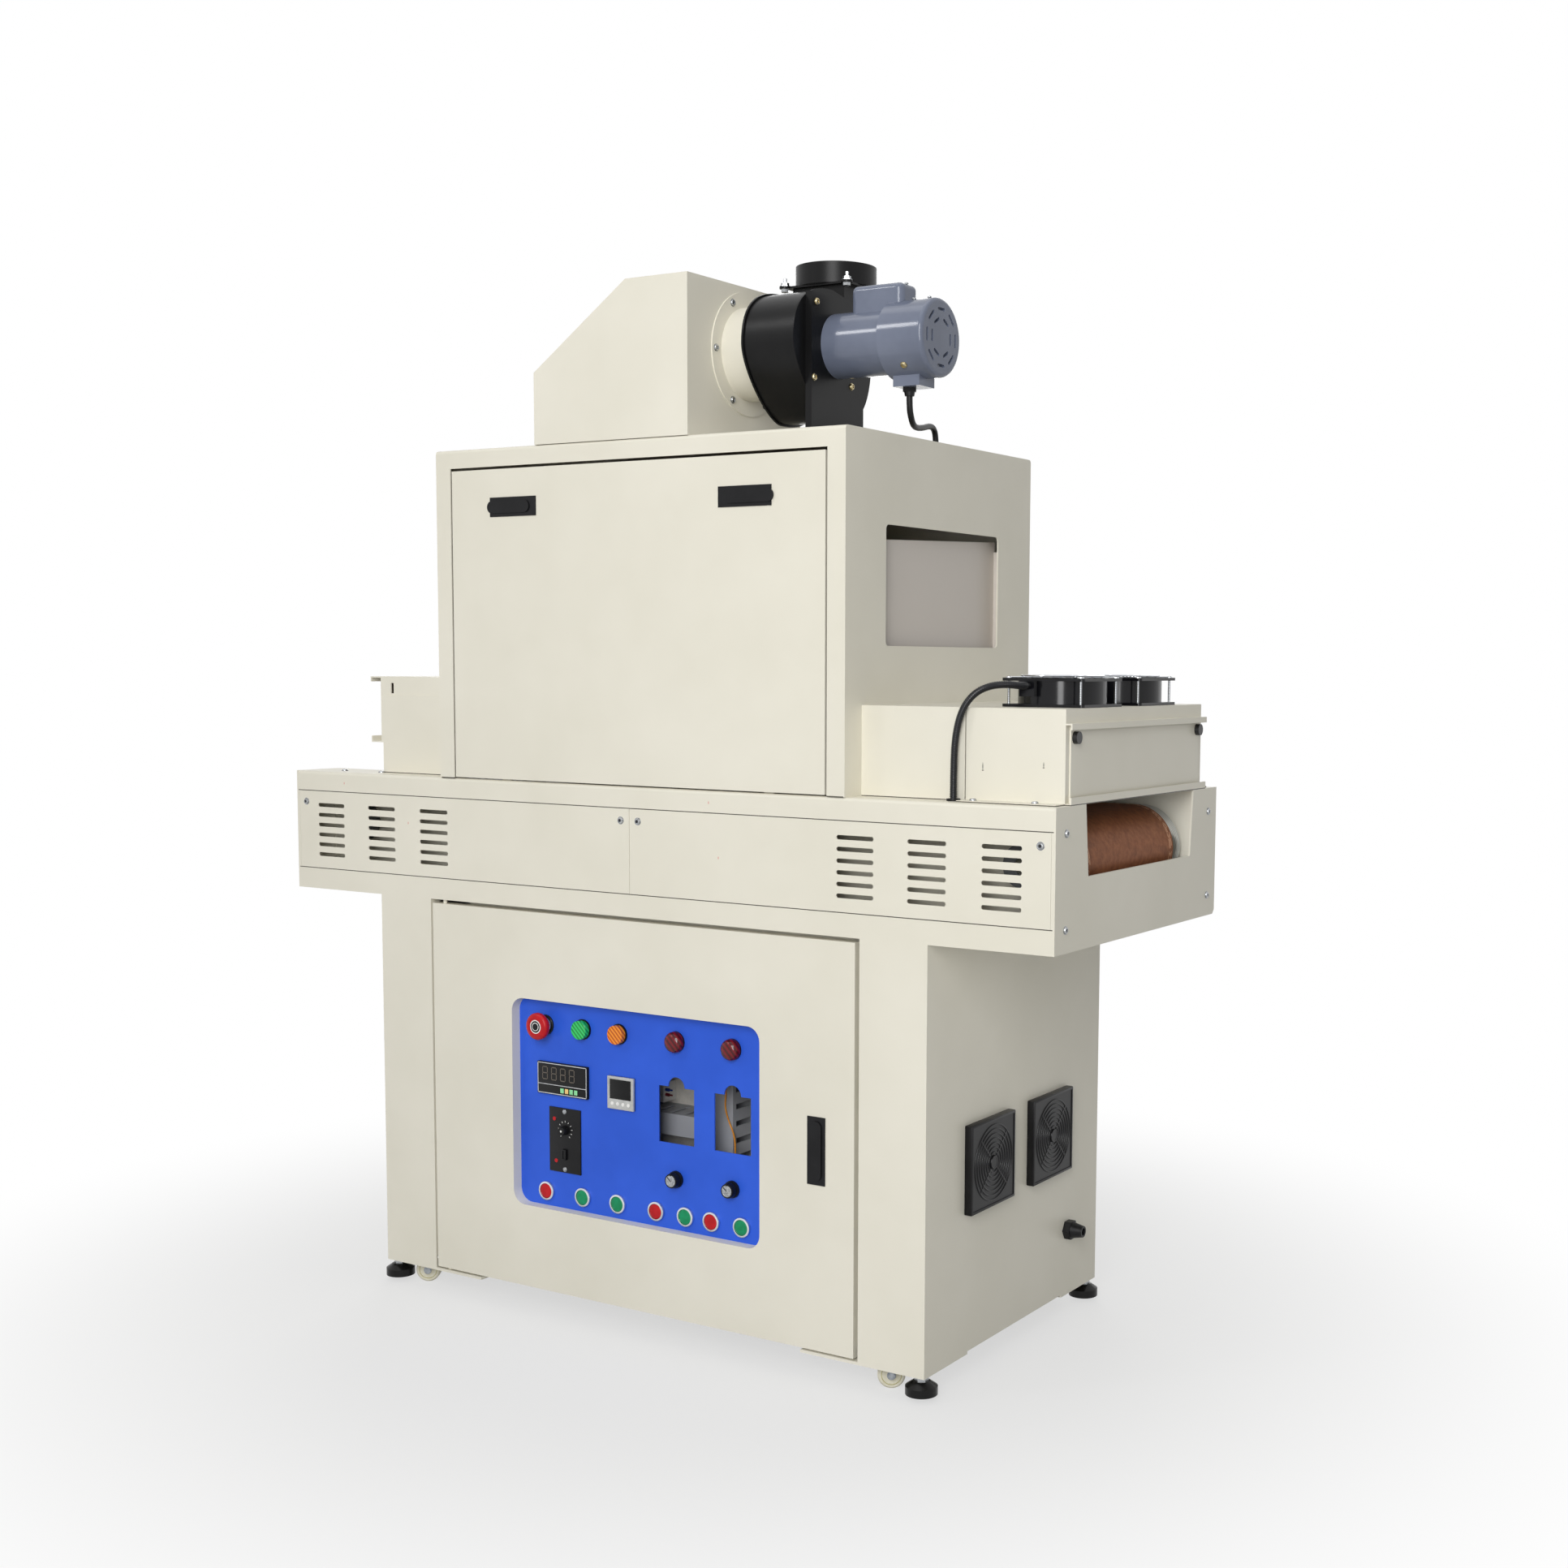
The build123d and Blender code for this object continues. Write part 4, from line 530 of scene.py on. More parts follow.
stop_x, lamp_z = -174, 438
collar_height, mushroom_proud, mushroom_rise, print_step = 3.2, 12.4, 11.2, 0.14
collar = turned("stop_collar", 15, 2.2, [(0.8, 14.2), (0, 11.4), (7.5, 11), (2.2, 11)], 48)
fitted(on_panel(collar, [stop_x], lamp_z), black_plastic, "door", "black_plastic", "emergency_stop")
stop_ring = turned("stop_stem_ring", 11.9, 1.6, [(0.3, 11.7), (0, 11.05)], 48)
fitted(on_panel(stop_ring, [stop_x], lamp_z, collar_height), chrome, "door", "zinc_plate")
domed = [(1.2, 19.2), (1.6, 20), (4.2, 20), (2.0, 19.3), (1.6, 17.4)]
dished = domed + [(0.6, 14.5), (0.1, 12.5), (-0.7, 12.2), (0, 5)]
mushroom = turned("stop_mushroom", 13, 0.6, dished, 56)
fitted(on_panel(mushroom, [stop_x], lamp_z, mushroom_proud), red_plastic, "door", "red_plastic")
for step, (name, outer, material) in enumerate((
    ("stop_white_disc", 10.2, white_print),
    ("stop_black_disc", 8.6, black_plastic),
    ("stop_white_circle", 6.3, white_print),
    ("stop_black_centre", 5.2, black_plastic),
)):
    disc = turned(name, outer, 0.08, [(0.07, outer - 0.05)], 48)
    proud = mushroom_proud + mushroom_rise + step * print_step
    fitted(on_panel(disc, [stop_x], lamp_z, proud), material, "door", "black_plastic")

# Pilot lamps
# Two flat ribbed lenses, green and orange, and two domed dark-red alarm lenses. All are moulded of clear dyed
# polycarbonate in a black collar, so they look deep and glossy. Their ribs are coloured in bands from the dye to
# a lighter tone, as painted glints.


def waves(material, place, period_mm, direction, **sockets):
    """Parallel bands with a real period."""
    sockets = {"Vector": (place, "Object"), "Scale": 0.1 * pi / (period_mm * mm), **sockets}
    return add_node(material, "ShaderNodeTexWave", sockets, bands_direction=direction), "Fac"


lamp_xs = (-103, -35)
alarm_xs = (69, 168)
collar = turned("lamp_collars", 15.2, 1.6, [(0.9, 14.9), (0, 13.4), (-0.4, 13.2)], 48)
fitted(on_panel(collar, lamp_xs + alarm_xs, lamp_z), black_plastic, "door", "black_plastic", "pilot_lamps")
flat_lens = [(5.6, 13.6), (0, 13.9), (3.4, 13.8), (0.6, 13.2), (0, 11.6), (-0.5, 11.4)]
dome_lens = [(5.2, 15.0), (0.6, 14.6), (2.8, 13.6), (2.2, 11.4), (1.4, 8.2), (0.5, 4.8), (0.1, 2)]
for name, dye, dark, bright, lens_xs, radius, profile, rib in (
    ("green_lamp_lens", "green", "#078A34", "#33D471", lamp_xs[:1], 13.6, flat_lens, 3.6),
    ("orange_lamp_lens", "orange", "#BA4C00", "#F89A26", lamp_xs[1:], 13.6, flat_lens, 3.6),
    ("alarm_lenses", "dark_red", "#40050B", "#780C18", alarm_xs, 15, dome_lens, 5.0),
):
    lens_finish, shader, place = new_finish(
        "clear_" + dye + "_polycarbonate", dark, 0.14, IOR=1.58, Specular_IOR_Level=0.3
    )
    # Painted glints: the ribs shade from the dark dye to a lighter tone, over a real rib bump.
    ribs = waves(lens_finish, place, rib, "DIAGONAL", Distortion=0.6)
    feed(shader, "Base Color", ramped(lens_finish, ribs, dark, bright))
    raised(lens_finish, shader, ribs, 0.3, 0.5)
    lens = turned(name, radius, 1.6, profile, 48)
    fitted(on_panel(lens, lens_xs, lamp_z), lens_finish, "door", "lamp_lens")

# Speed meter
# A digital panel meter in a black moulded case with a printed silver rim, a dark window with four unlit digits,
# and four small keys of translucent plastic.


def around(middle, half):
    """The span that reaches half to each side of its middle."""
    return middle - half, middle + half


meter_x, meter_z = -140, 359
meter_face, case_back = panel_face - 5, panel_face + 50
case = block("meter_case", around(meter_x, 48), (meter_face, case_back), around(meter_z, 24), 0.8)
fitted(case, black_plastic, "door", "black_plastic", "panel_instruments")

silver_print = plain_finish("silver_film_print", "#C9CBCE", 0.35, (9, "#BDBFC3", "#D2D4D6"))
rim_y = (meter_face - 0.15, meter_face + 0.1)
level_rims = [
    block("rim", around(meter_x, 47), rim_y, around(meter_z + side * 22.4, 0.6), 0.05) for side in (-1, 1)
]
upright_rims = [
    block("rim", around(meter_x + side * 46.4, 0.6), rim_y, around(meter_z, 23), 0.05) for side in (-1, 1)
]
divider = block("rim", around(meter_x, 46), rim_y, (meter_z - 9.6, meter_z - 8.6), 0.05)
fitted(joined("meter_rim", level_rims + upright_rims + [divider]), silver_print, "door", "zinc_plate")

unlit = plain_finish("unlit_display_segments", "#5E554C", 0.4, (5, "#565047", "#665D54"))
digit_y = (meter_face - 0.12, meter_face + 0.1)
digit_pitch, segment_pitch = 17.2, 9.2
segments = []
for digit in range(4):
    left = meter_x - 38 + digit * digit_pitch
    for level in (-1, 0, 1):
        bar_z = meter_z + 7.5 + level * segment_pitch
        segments.append(block("bar", (left + 1.2, left + 9.4), digit_y, around(bar_z, 0.75), 0.3))
    for upper in (0, 1):
        post_z = meter_z - 1.2 + upper * segment_pitch
        for x in (left, left + 9.2):
            segments.append(block("post", (x, x + 1.5), digit_y, (post_z, post_z + 8.2), 0.3))
fitted(joined("meter_digits", segments), unlit, "door", "black_plastic")

key_green = plain_finish("translucent_green_key", "#8FDDA0", 0.4, (4, "#84D496", "#9CE6AC"))
key_orange = plain_finish("translucent_orange_key", "#F0C87A", 0.4, (4, "#E8BE6C", "#F6D28A"))
key_y, key_z = (meter_face - 0.5, meter_face + 0.1), (meter_z - 19.8, meter_z - 12.6)
key_width = 6.4
for name, material, lefts in (
    ("meter_green_keys", key_green, (meter_x - 3, meter_x + 14.4, meter_x + 23.1)),
    ("meter_orange_key", key_orange, (meter_x + 5.7,)),
):
    keys = [block("key", (left, left + key_width), key_y, key_z, 0.3) for left in lefts]
    fitted(joined(name, keys), material, "door", "black_plastic")

# Temperature controller
# A small square controller in a moulded case, with a light grey bezel, a black acrylic screen sunk into it and
# four white keys in a row under the screen.

controller_x, controller_z = -30, 352
case_x, case_z = around(controller_x, 24), around(controller_z, 24)
case = block("controller_case", case_x, (panel_face - 1, case_back), case_z, 0.5)
fitted(case, black_plastic, "door", "black_plastic")
bezel_tones = (14, "#B0B1AF", "#C3C4C2")
grey_bezel = plain_finish("moulded_light_grey_abs", "#B9BAB8", 0.4, bezel_tones, (0.7, 0.01, 0.4))
bezel = block("controller_bezel", case_x, (panel_face - 5, panel_face - 1), case_z, 0.8, 1.6, 0.5)
fitted(bezel, grey_bezel, "door", "black_plastic")
screen_tones = (20, "#050607", "#0A0B0C")
screen_glass = plain_finish(
    "black_acrylic_window", "#060708", 0.1, screen_tones, IOR=1.49, Specular_IOR_Level=0.25
)
screen_y, screen_z = (panel_face - 4.8, panel_face - 4.2), (controller_z - 9, controller_z + 20)
screen = block("controller_screen", around(controller_x, 19.5), screen_y, screen_z, 0.2)
fitted(screen, screen_glass, "door", "black_plastic")
key = turned("controller_keys", 2.7, 0.6, [(0.4, 2.5), (0.15, 1.8)], 20)
key_xs = [controller_x - 15 + step * 10 for step in range(4)]
fitted(on_panel(key, key_xs, controller_z - 16, 4.3), white_print, "door", "black_plastic")

# Speed controller
# A moulded black plate held by two screws, with a turned knob in a ring of printed scale ticks, a rocker switch
# and two red dots. The knob has a white dot on its face.


def moved(piece, spot, angle=0.0, axis="Z"):
    """Turns a piece about an axis and sets it at a spot in mm."""
    piece.matrix_world = Matrix.Translation(Vector(spot) * mm) @ Matrix.Rotation(angle, 4, axis)
    return piece


speed_x, speed_z = -138, 267.5
plate_proud = 2
speed_face = panel_face - plate_proud
plate_y = (speed_face, panel_face + 30)
plate = block("speed_plate", around(speed_x, 30), plate_y, around(speed_z, 48.5), 0.4)
fitted(plate, black_plastic, "door", "black_plastic")
knob_x, knob_z = speed_x + 1, speed_z + 16
scale_radius = 12.6
ticks = []
for step in range(11):
    angle = radians(-140 + step * 28)
    spot = (knob_x + scale_radius * sin(angle), speed_face - 0.02, knob_z + scale_radius * cos(angle))
    tick = block("tick", (-0.35, 0.35), (-0.12, 0.1), (-1.3, 1.3), 0.04)
    ticks.append(moved(tick, spot, angle, "Y"))
fitted(joined("speed_scale_ticks", ticks), white_print, "door", "black_plastic")
knob = turned("speed_knob", 7.4, 1.2, [(3, 6.8), (5.2, 6.3), (0.8, 5.7), (0, 3.2), (-0.3, 3.0)], 24)
fitted(on_panel(knob, [knob_x], knob_z, plate_proud), black_plastic, "door", "black_plastic")
cap = turned("speed_knob_dot", 1.6, 0.3, [(0.2, 1.4), (0.1, 0.8)], 24)
fitted(on_panel(cap, [knob_x], knob_z, plate_proud + 9.8), white_print, "door", "black_plastic")
rocker_y, rocker_z = (speed_face - 3.2, speed_face), (speed_z - 29, speed_z - 13)
rocker = block("speed_rocker", around(speed_x, 4), rocker_y, rocker_z, 0.8, 1.1, 0.9)
fitted(rocker, black_plastic, "door", "black_plastic")
dot = turned("speed_red_dots", 3.0, 0.3, [(0.2, 2.8), (0, 1.4), (-0.2, 1.2)], 24)
dot_places = ((speed_x - 20, speed_z + 31), (speed_x - 17, speed_z - 32))
dots = [((x, speed_face, z), to_front) for x, z in dot_places]
fitted(set_in(dot, dots), red_plastic, "door", "red_plastic")
screw = turned("speed_plate_screws", 3.6, 0.5, [(0, 3.4), (0.8, 2.9), (0.4, 1.6)], 24)
spots = [((speed_x, speed_face, z), to_front) for z in around(speed_z, 43.5)]
fitted(set_in(screw, spots), nickel, "door", "zinc_plate")

# Rotary dials
# Fluted knobs of moulded black plastic with a raised pointer, each on its own shaft. A spun aluminium cap is
# pressed into the face of each.

dial_z = 239
fluted = [(2.6, 12.4), (0.8, 12.0), (0, 11.0), (8.4, 10.6), (1.4, 10.0), (0, 8.6), (-0.4, 8.4)]
spun_cap = [(0.5, 8.2), (0, 7.2), (-0.2, 7.0), (0.15, 0.8)]
pointer_y, pointer_z = (panel_face - 15.2, panel_face - 4.8), (dial_z + 7.4, dial_z + 11.4)
for name, x in (("left_dial", 69), ("right_dial", 168)):
    knob = on_panel(turned(name + "_knob", 12.5, 0.6, fluted, 18), [x], dial_z, 1)
    pointer = block("pointer", around(x, 0.9), pointer_y, pointer_z, 0.3)
    line = block("line", (-0.6, 0.6), (-0.25, 0.3), (-0.4, 7.6), 0.1)
    moved(line, (x, panel_face - 14.9, dial_z), radians(-50), "Y")
    dial = joined(name + "_knob", [knob, pointer, line])
    fitted(dial, black_plastic, name, "black_plastic", name)
    cap = turned(name + "_cap", 8.5, 0.3, spun_cap, 36)
    fitted(on_panel(cap, [x], dial_z, 14.2), nickel, name, "zinc_plate")

# Filter guards and mains gland
# Square snap-on guards moulded in black ABS with seven concentric ribs round a hub, in front of a foam mat. The
# gland beside them is black nylon.

side_face = 492.5
guard_front = side_face + 12.3
guard_z, guard_half = 292.5, 62
first_rib, rib_pitch, rib_wire = 14, 6.4, 1.5
guard_pieces = []
for y in (-93, 87.5):
    plate = block("guard", (side_face, guard_front), around(y, guard_half), around(guard_z, guard_half), 1.6)
    take(plate)
    open_faces(plate, largest_towards(to_right))
    draw(2.5, (-1.0, 0, 0))
    bpy.ops.object.mode_set(mode="OBJECT")
    guard_pieces.append(plate)
    for step in range(7):
        rib_centre = (guard_front - 1.3, y, guard_z)
        guard_pieces.append(hoop(first_rib + step * rib_pitch, rib_wire, 72, 8, rib_centre, (0, pi / 2, 0)))
    hub = turned("hub", 10, 1.6, [(1.2, 9.4), (0, 7.5), (-0.4, 7)], 36)
    guard_pieces.append(moved(hub, (guard_front - 1.6, y, guard_z), pi / 2, "Y"))
    for angle in (45, 135, 225, 315):
        strut = block("strut", (-1.2, 0.2), (10, 53), (-1.6, 1.6), 0.4)
        guard_pieces.append(moved(strut, (guard_front - 0.4, y, guard_z), radians(angle), "X"))
guards = joined("filter_guard_faces", guard_pieces)
fitted(guards, black_plastic, "dryer", "black_plastic", "filter_guards")

gland_tones = (12, "#0C0C0E", "#141416")
black_nylon = plain_finish(
    "moulded_black_nylon", "#0E0E10", 0.42, gland_tones, (0.8, 0.015, 0.5), IOR=1.53, Specular_IOR_Level=0.25
)
coat(black_nylon, "cable_gland", "motor_gland")

# Side rails and bearings
# Folded steel rails under the top strips, coated like the casing. Bearing housings of grey cast iron are bolted
# to their outer sides.

rail_outside = 183.4
rail_finish, shader, place, colour = ivory_coat("ivory_rail_with_cast_iron_bearings", roughness=0.45)
beside = worked(rail_finish, "ABSOLUTE", coordinate(rail_finish, place, "Y"))
outside = worked(rail_finish, "GREATER_THAN", beside, rail_outside * mm)
painted_where(rail_finish, shader, colour, outside, "#6C6E70")
grain(rail_finish, shader, place, 1.5, 0.02, 0.6)
coat(rail_finish, "side_rails")

# Drums
# Steel tubes with welded ends on a through shaft, turned on the lathe and then hard chromed. The turning rings
# are drawn as dark and light bands in the chrome's colour, partly painted reflection.

turned_chrome, shader, place = new_finish("turned_hard_chrome", "#C6C9CD", 0.14, 1.0)
# Turning rings, and painted reflection streaks: bands between a dark and a light chrome colour.
rings_and_reflection_bands = waves(turned_chrome, place, 4, "Y", Distortion=1.5, Detail=2.0)
feed(shader, "Base Color", ramped(turned_chrome, rings_and_reflection_bands, "#7F858C", "#E2E4E6"))
coat(turned_chrome, "drive_drum", "idler_drum")

# Belt
# Brown glass cloth coated with PTFE, joined to a loop, with three rows of light stitching along each edge. The
# weave is half a millimetre in truth and drawn at 1.6 mm so that it shows.

stitch_rows = (128, 131.2, 134.6)
weave_period = 1.6
belt_cloth, shader, place = new_finish(
    "ptfe_coated_glass_cloth", "#8A5636", 0.55, IOR=1.4, Specular_IOR_Level=0.3
)
colour = cloudy(belt_cloth, shader, place, 9, "#7E4E32", "#9A6140")
beside = worked(belt_cloth, "ABSOLUTE", coordinate(belt_cloth, place, "Y"))
broken = worked(belt_cloth, "GREATER_THAN", noise(belt_cloth, place, 6.25, 1.0, 0.5), 0.46)
for row in stitch_rows:
    seam = worked(belt_cloth, "COMPARE", beside, row * mm, 0.8 * mm)
    stitch = worked(belt_cloth, "MULTIPLY", seam, broken)
    colour = painted_where(belt_cloth, shader, colour, stitch, "#E0AE8C")
threads = [waves(belt_cloth, place, weave_period, direction) for direction in ("X", "Y")]
raised(belt_cloth, shader, worked(belt_cloth, "ADD", *threads), 0.05, 0.5)
coat(belt_cloth, "belt")

# Hood casing and tunnels
# The hood and the tunnels stand on the frame's top strips; a thin line of painted shadow runs along their lower
# edge. Two small dents on the cooling cover each show as a darker grey streak with a spot of painted shadow below
# it.

foot_shadow_line, cover_front = 799.4, -216
standing, shader, place, colour = ivory_coat("ivory_powder_coat_with_painted_shadows_and_streaks", IOR=1.5)
# Painted shadow: a dark line along the lower edge where the hood and tunnels stand on the strips.
colour = painted_where(standing, shader, colour, joint_mask(standing, place, foot_shadow_line, 0.8), painted_joint_shadow)
# Each dent: a darker grey streak, and below it a darker spot of painted shadow.
for x, z, size in ((548.5, 844.5, 5), (636.4, 849, 3.5)):
    dark_streak = spot_mask(standing, place, (x, cover_front, z), (1.3, 3, size * 1.3), 0.85)
    colour = painted_where(standing, shader, colour, dark_streak, "#6A675F")
    dent_shadow = spot_mask(standing, place, (x, cover_front, z - size), (2.0, 3, 1.1), 0.95)
    colour = painted_where(standing, shader, colour, dent_shadow, "#5A564F")
grain(standing, shader, place, *orange_peel)
coat(standing, "hood_casing", "tunnel_covers", "cooling_cover")

# Hood sides
# The same coated sheet with a window for cooling air, and behind it a baffle of bare aluminised steel that keeps
# the lamp light in.

baffle_reach = 361.2
baffled, shader, place, colour = ivory_coat("ivory_coat_and_aluminised_baffle")
beside = worked(baffled, "ABSOLUTE", coordinate(baffled, place, "X"))
painted_where(baffled, shader, colour, worked(baffled, "LESS_THAN", beside, baffle_reach * mm), "#CFC8C0")
grain(baffled, shader, place, *orange_peel)
coat(baffled, "hood_sides")

# Shutters
# A folded and coated plate at each mouth, which is set to the height of the goods. Two black moulded knobs
# clamp each of them.

right_knob_x, left_knob_x = 669.2, -534.2
shutter_finish, shader, place, colour = ivory_coat("ivory_plate_and_black_knobs", "#DAD6C8", 0.4)
across = coordinate(shutter_finish, place, "X")
beyond = worked(shutter_finish, "GREATER_THAN", across, right_knob_x * mm)
before = worked(shutter_finish, "LESS_THAN", across, left_knob_x * mm)
painted_where(shutter_finish, shader, colour, worked(shutter_finish, "MAXIMUM", beyond, before), "#151517")
grain(shutter_finish, shader, place, 1.2, 0.012, 0.6)
coat(shutter_finish, "shutters")

# Bolts in the cooling cover and on the blower
# The same button-head screws fix the cover's flanges and the inlet collar. Zinc-yellow screws hold the blower's
# pedestal plate, and hexagon bolts with nuts hold the four ears of the outlet flange.

blower_y, blower_z = -118, 1409
collar_bolt_radius = 77
spots = [((x, y, 801), upward) for x in (541.5, 631) for y in (-228.5, 228.5)]
for step in range(6):
    angle = radians(step * 60)
    y, z = blower_y + collar_bolt_radius * cos(angle), blower_z + collar_bolt_radius * sin(angle)
    spots.append(((108, y, z), to_right))
screw = turned("cover_and_collar_screws", 5.2, 0.5, button_head, 24)
fitted(set_in(screw, spots), nickel, "dryer", "zinc_plate")

brass_tones = (3, "#A8986C", "#D2C7A8")
brass = plain_finish("yellow_zinc_plated_steel", "#BFB190", 0.28, brass_tones, (0.5, 0.01, 0.5), metallic=1.0)
screw = turned("pedestal_screws", 5.0, 0.5, button_head, 24)
spots = [((260, y, z), to_right) for y, z in ((-172, 1462), (-177.5, 1361), (-84.7, 1359))]
spots.append(((387.6, blower_y - 36.1, blower_z - 37.9), (0, -0.69, -0.72)))
fitted(set_in(screw, spots), brass, "dryer", "zinc_plate")

ear_spots = [(207 + 52 * side, -44 + 52 * end) for side in (-1, 1) for end in (-1, 1)]
bolt_profile = [(0, 5.8), (3.8, 5.8), (0.5, 5.0), (0, 2.6), (5.5, 2.6), (0.5, 2.1)]
head = turned("outlet_bolt_heads", 7.5, 1.2, bolt_profile, 6)
fitted(set_in(head, [((x, y, 1503), upward) for x, y in ear_spots]), nickel, "dryer", "zinc_plate")
nut = turned("outlet_nuts", 5.0, 0.4, [(0, 5.8), (4.2, 5.8), (0.4, 5.2), (0, 2.6), (0.6, 2.3)], 6)
fitted(set_in(nut, [((x, y, 1500), (0, 0, -1)) for x, y in ear_spots]), nickel, "dryer", "zinc_plate")

# Axial fans and finger guards
# Die-cast fan frames under gloss black enamel with pressed blades. The guards are rings of bright chromed wire
# welded on two diagonals, and long screws run through the corners.

fan_x, fan_top = 597, 958
hole_offset, wire_radius, rod_length = 52.5, 0.9, 147
enamel_tones = (60, "#07070A", "#0E0E12")
enamel = plain_finish(
    "gloss_black_enamel", "#08080A", 0.16, enamel_tones, (2.5, 0.01, 0.3), IOR=1.5, Specular_IOR_Level=0.3
)
coat(enamel, "fan_housings")

long_screw = [(7.6, 1.7), (0, 3.2), (1.6, 3.0), (0.4, 2.2), (0, 1.2), (-0.8, 1.0)]
wires, rods = [], []
for y in (-88, 88):
    for ring_radius in (14, 28, 42, 55):
        wires.append(hoop(ring_radius, wire_radius, 64, 8, (fan_x, y, fan_top + 2.7)))
    for angle in (45, 135):
        wire = turned("wire", wire_radius, 1, [(rod_length - 1, wire_radius)], 10)
        lying = Matrix.Rotation(radians(angle), 4, "Z") @ Matrix.Rotation(pi / 2, 4, "Y")
        centred = Matrix.Translation((0, 0, -rod_length / 2 * mm))
        wire.matrix_world = Matrix.Translation(Vector((fan_x, y, fan_top + 0.9)) * mm) @ lying @ centred
        wires.append(wire)
    for hole_x in around(fan_x, hole_offset):
        for hole_y in around(y, hole_offset):
            eye = turned("eye", 4.2, 0.8, [(0.6, 4.0), (0, 2.6), (-0.5, 2.4)], 20)
            wires.append(moved(eye, (hole_x, hole_y, fan_top)))
            bolt = turned("bolt", 1.7, 30, long_screw, 14)
            rods.append(moved(bolt, (hole_x, hole_y, fan_top - 37.5)))
fitted(joined("chromed_wire_guards", wires), chrome, "dryer", "chrome_wire", "finger_guards")
# The thread is drawn as colour bands: painted highlight on the crests and painted shade in the roots.
threaded, shader, place = new_finish("threaded_zinc_plated_rod", "#8F9295", 0.3, 1.0)
painted_thread_bands = waves(threaded, place, 1.6, "Z")
feed(shader, "Base Color", ramped(threaded, painted_thread_bands, "#5E6164", "#BFC1C3"))
fitted(joined("fan_corner_screws", rods), threaded, "dryer", "zinc_plate")

# Blower and motor
# The scroll is rolled and welded sheet under satin black paint. The motor is a capacitor motor under gloss
# blue-grey enamel, with its terminal box below.

scroll_tones = (90, "#0A0A0B", "#111112")
satin_black = plain_finish(
    "satin_black_paint_on_steel", "#0C0C0D", 0.34, scroll_tones, (2.0, 0.02, 0.5), IOR=1.5, Specular_IOR_Level=0.2
)
coat(satin_black, "blower_scroll")
motor_tones = (80, "#666D7F", "#707789")
motor_enamel = plain_finish(
    "gloss_blue_grey_enamel", "#6A7183", 0.14, motor_tones, (3.0, 0.012, 0.4), IOR=1.5, Specular_IOR_Level=0.4
)
coat(motor_enamel, "blower_motor")
screw = turned("capacitor_screws", 3.0, 0.4, [(0, 2.8), (1.2, 2.5), (0.5, 1.4)], 20)
spots = [((x, blower_y, 1484), upward) for x in (300, 369)]
spots += [((x, blower_y - 8, 1461.2), upward) for x in (386, 410)]
fitted(set_in(screw, spots), nickel, "dryer", "zinc_plate")

# Motor lead
# A lead with a moulded black rubber sheath, 8.5 mm thick. It hangs from the motor's gland and runs over the rear
# of the hood's top into a grommet.

lead_route = [
    (375, -118, 1335),
    (375, -118, 1320),
    (373.4, -111, 1307),
    (369, -98, 1299),
    (361, -76, 1298),
    (351, -42, 1302),
    (339, -6, 1309),
    (332, 18, 1310),
    (330, 29, 1300),
    (330, 29, 1284),
]
rubber_tones = (30, "#0B0B0B", "#131313")
rubber = plain_finish(
    "black_rubber_sheath", "#0D0D0D", 0.45, rubber_tones, (0.9, 0.02, 0.5), Specular_IOR_Level=0.25
)
coat(rubber, "cable_grommets")
lead = fitted(routed("motor_lead_sheath", lead_route, 4.25), rubber, "dryer", "black_rubber", "motor_lead")

# Fan conduit
# Corrugated black polyamide conduit of 10 mm from the front fan's terminal block down into the frame. Its rings
# are pressed about 3 mm apart and catch a row of small highlights.

conduit_route = [
    (579, -156, 948),
    (579, -172, 948),
    (569, -190, 950),
    (552, -206, 948),
    (535, -218, 938),
    (521, -225, 916),
    (513, -226.5, 882),
    (511, -226, 840),
    (511, -226, 799),
]
conduit_tones = (20, "#090A0D", "#121318")
conduit_grain = (1.0, 0.01, 0.4)
polyamide = plain_finish(
    "corrugated_black_polyamide", "#0B0C10", 0.22, conduit_tones, conduit_grain, IOR=1.53, Specular_IOR_Level=0.35
)
conduit = routed("fan_conduit_core", conduit_route, 4.4)
fitted(conduit, polyamide, "dryer", "black_rubber", "fan_conduit")
bare = conduit.data.copy()
bare.bevel_depth = 0
bare_line = bpy.data.objects.new("bare_line", bare)
bpy.context.scene.collection.objects.link(bare_line)
bpy.context.view_layer.update()
trace = bpy.data.meshes.new_from_object(bare_line)
points = [vertex.co.copy() for vertex in trace.vertices]
bpy.data.objects.remove(bare_line)
bpy.data.meshes.remove(trace)
ring_gap = 3.0 * mm
rib = turned("fan_conduit_rings", 4.2, 0.3, [(0.35, 4.85), (0.5, 5.0), (0.35, 4.85), (0.3, 4.2)], 20)
rib_spots = []
travelled, wanted = 0.0, ring_gap
for start, end in zip(points, points[1:]):
    step = (end - start).length
    while step and travelled + step >= wanted:
        spot = start.lerp(end, (wanted - travelled) / step)
        rib_spots.append((spot / mm, (end - start).normalized()))
        wanted += ring_gap
    travelled += step
ribs = fitted(set_in(rib, rib_spots[:-1]), polyamide, "dryer", "black_rubber")

# Floor, light and camera
# A pale studio floor that fades to white away from the machine, broad soft lamps from the front and above, and
# the camera of the photograph.


def viewed(owner):
    """1 for a ray from the camera, off a gloss or through glass, else 0."""
    ray = add_node(owner, "ShaderNodeLightPath")
    direct = worked(owner, "MAXIMUM", (ray, "Is Camera Ray"), (ray, "Is Glossy Ray"))
    return worked(owner, "MAXIMUM", direct, (ray, "Is Transmission Ray"))


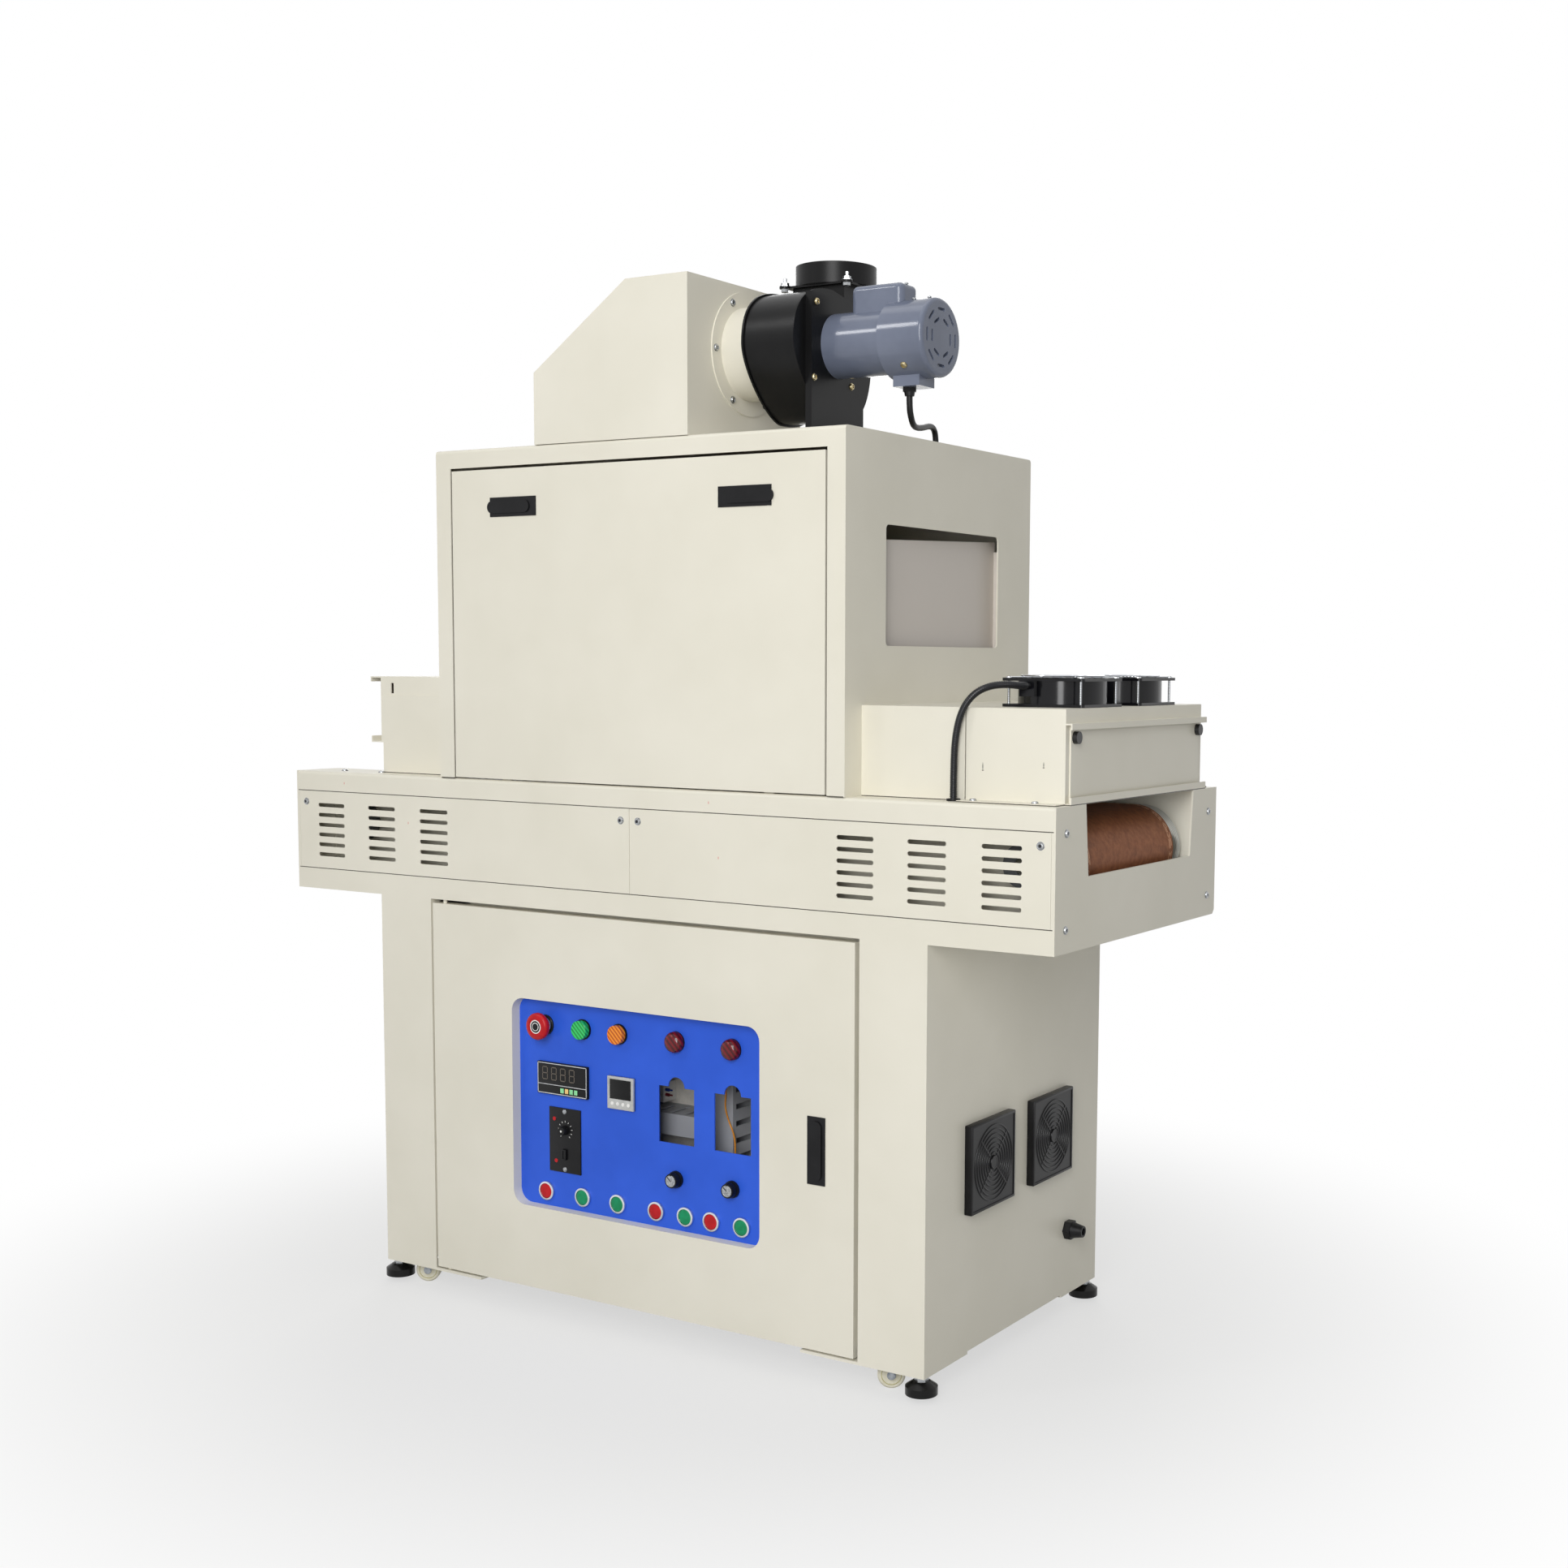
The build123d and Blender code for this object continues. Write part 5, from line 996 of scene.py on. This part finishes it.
bpy.ops.object.select_all(action="DESELECT")
bpy.ops.mesh.primitive_plane_add(size=30, location=(0, 0, 0))
floor = bpy.context.object
floor.name = "studio_floor"
paper, shader, place = new_finish("pale_studio_paper", "#BCBCBA", 0.9)
grain(paper, shader, place, 3, 0.02, 0.2)
distance = add_node(paper, "ShaderNodeVectorMath", {0: (place, "Object")}, operation="LENGTH")
fade = {"Value": (distance, "Value"), "From Min": 0.5, "From Max": 1.5, "To Min": 0.62}
far = add_node(paper, "ShaderNodeMapRange", fade, interpolation_type="SMOOTHSTEP")
share = worked(paper, "MULTIPLY", (far, "Result"), viewed(paper))
glow = add_node(paper, "ShaderNodeEmission", {"Color": (1, 1, 1, 1), "Strength": 1.0})
faded = add_node(paper, "ShaderNodeMixShader", {0: share, 1: (shader, "BSDF"), 2: (glow, "Emission")})
feed(paper.node_tree.nodes["Material Output"], "Surface", (faded, "Shader"))
coat(paper, floor)

world = bpy.data.worlds.new("studio")
bpy.context.scene.world = world
world.use_nodes = True
dim = world.node_tree.nodes["Background"]
white = add_node(world, "ShaderNodeBackground")
for background, strength in ((dim, 0.24), (white, 1.0)):
    background.inputs["Color"].default_value = (1.0, 1.0, 1.0, 1.0)
    background.inputs["Strength"].default_value = strength
sky = {0: viewed(world), 1: (dim, "Background"), 2: (white, "Background")}
feed(world.node_tree.nodes["World Output"], "Surface", (add_node(world, "ShaderNodeMixShader", sky), "Shader"))

for name, spot, aim, size, power in (
    ("key_softbox", (1.95, -4.4, 2.8), (0, 0, 0.75), 2.2, 124),
    ("low_fill", (1.95, -3.5, 1.15), (0, 0, 0.75), 0.9, 30),
    ("left_strip", (-1.75, -2.8, 3.4), (0.2, -0.1, 1.1), 0.6, 15),
    ("rear_fill", (-2.6, 3.9, 2.2), (0, 0, 0.75), 2.6, 74),
    ("top_softbox", (0.2, -0.4, 4.2), (0, 0, 0.6), 3.0, 24),
):
    bpy.ops.object.light_add(type="AREA", location=spot)
    lamp = bpy.context.object
    lamp.name = name
    lamp.data.shape = "SQUARE"
    lamp.data.size = size
    lamp.data.energy = power
    lamp.rotation_euler = (Vector(aim) - Vector(spot)).to_track_quat("-Z", "Y").to_euler()

yaw, pitch, roll = radians(31.08), radians(5.30), radians(-0.41)
ahead = Vector((-sin(yaw) * cos(pitch), cos(yaw) * cos(pitch), -sin(pitch)))
right = Vector((cos(yaw), sin(yaw), 0))
down = ahead.cross(right)
image_right = right * cos(roll) + down * sin(roll)
image_down = down * cos(roll) - right * sin(roll)
turn = Matrix((image_right, -image_down, -ahead)).transposed().to_4x4()
camera_data = bpy.data.cameras.new("photograph_camera")
camera = bpy.data.objects.new("photograph_camera", camera_data)
bpy.context.scene.collection.objects.link(camera)
camera.matrix_world = Matrix.Translation((1.7719, -2.4192, 0.9782)) @ turn
camera_data.sensor_width = 36
camera_data.lens = 44.99
camera_data.shift_x = -0.0820
camera_data.shift_y = 0.0378
camera_data.clip_start, camera_data.clip_end = 0.1, 100
bpy.context.scene.camera = camera
bpy.context.scene.view_settings.view_transform = "Standard"
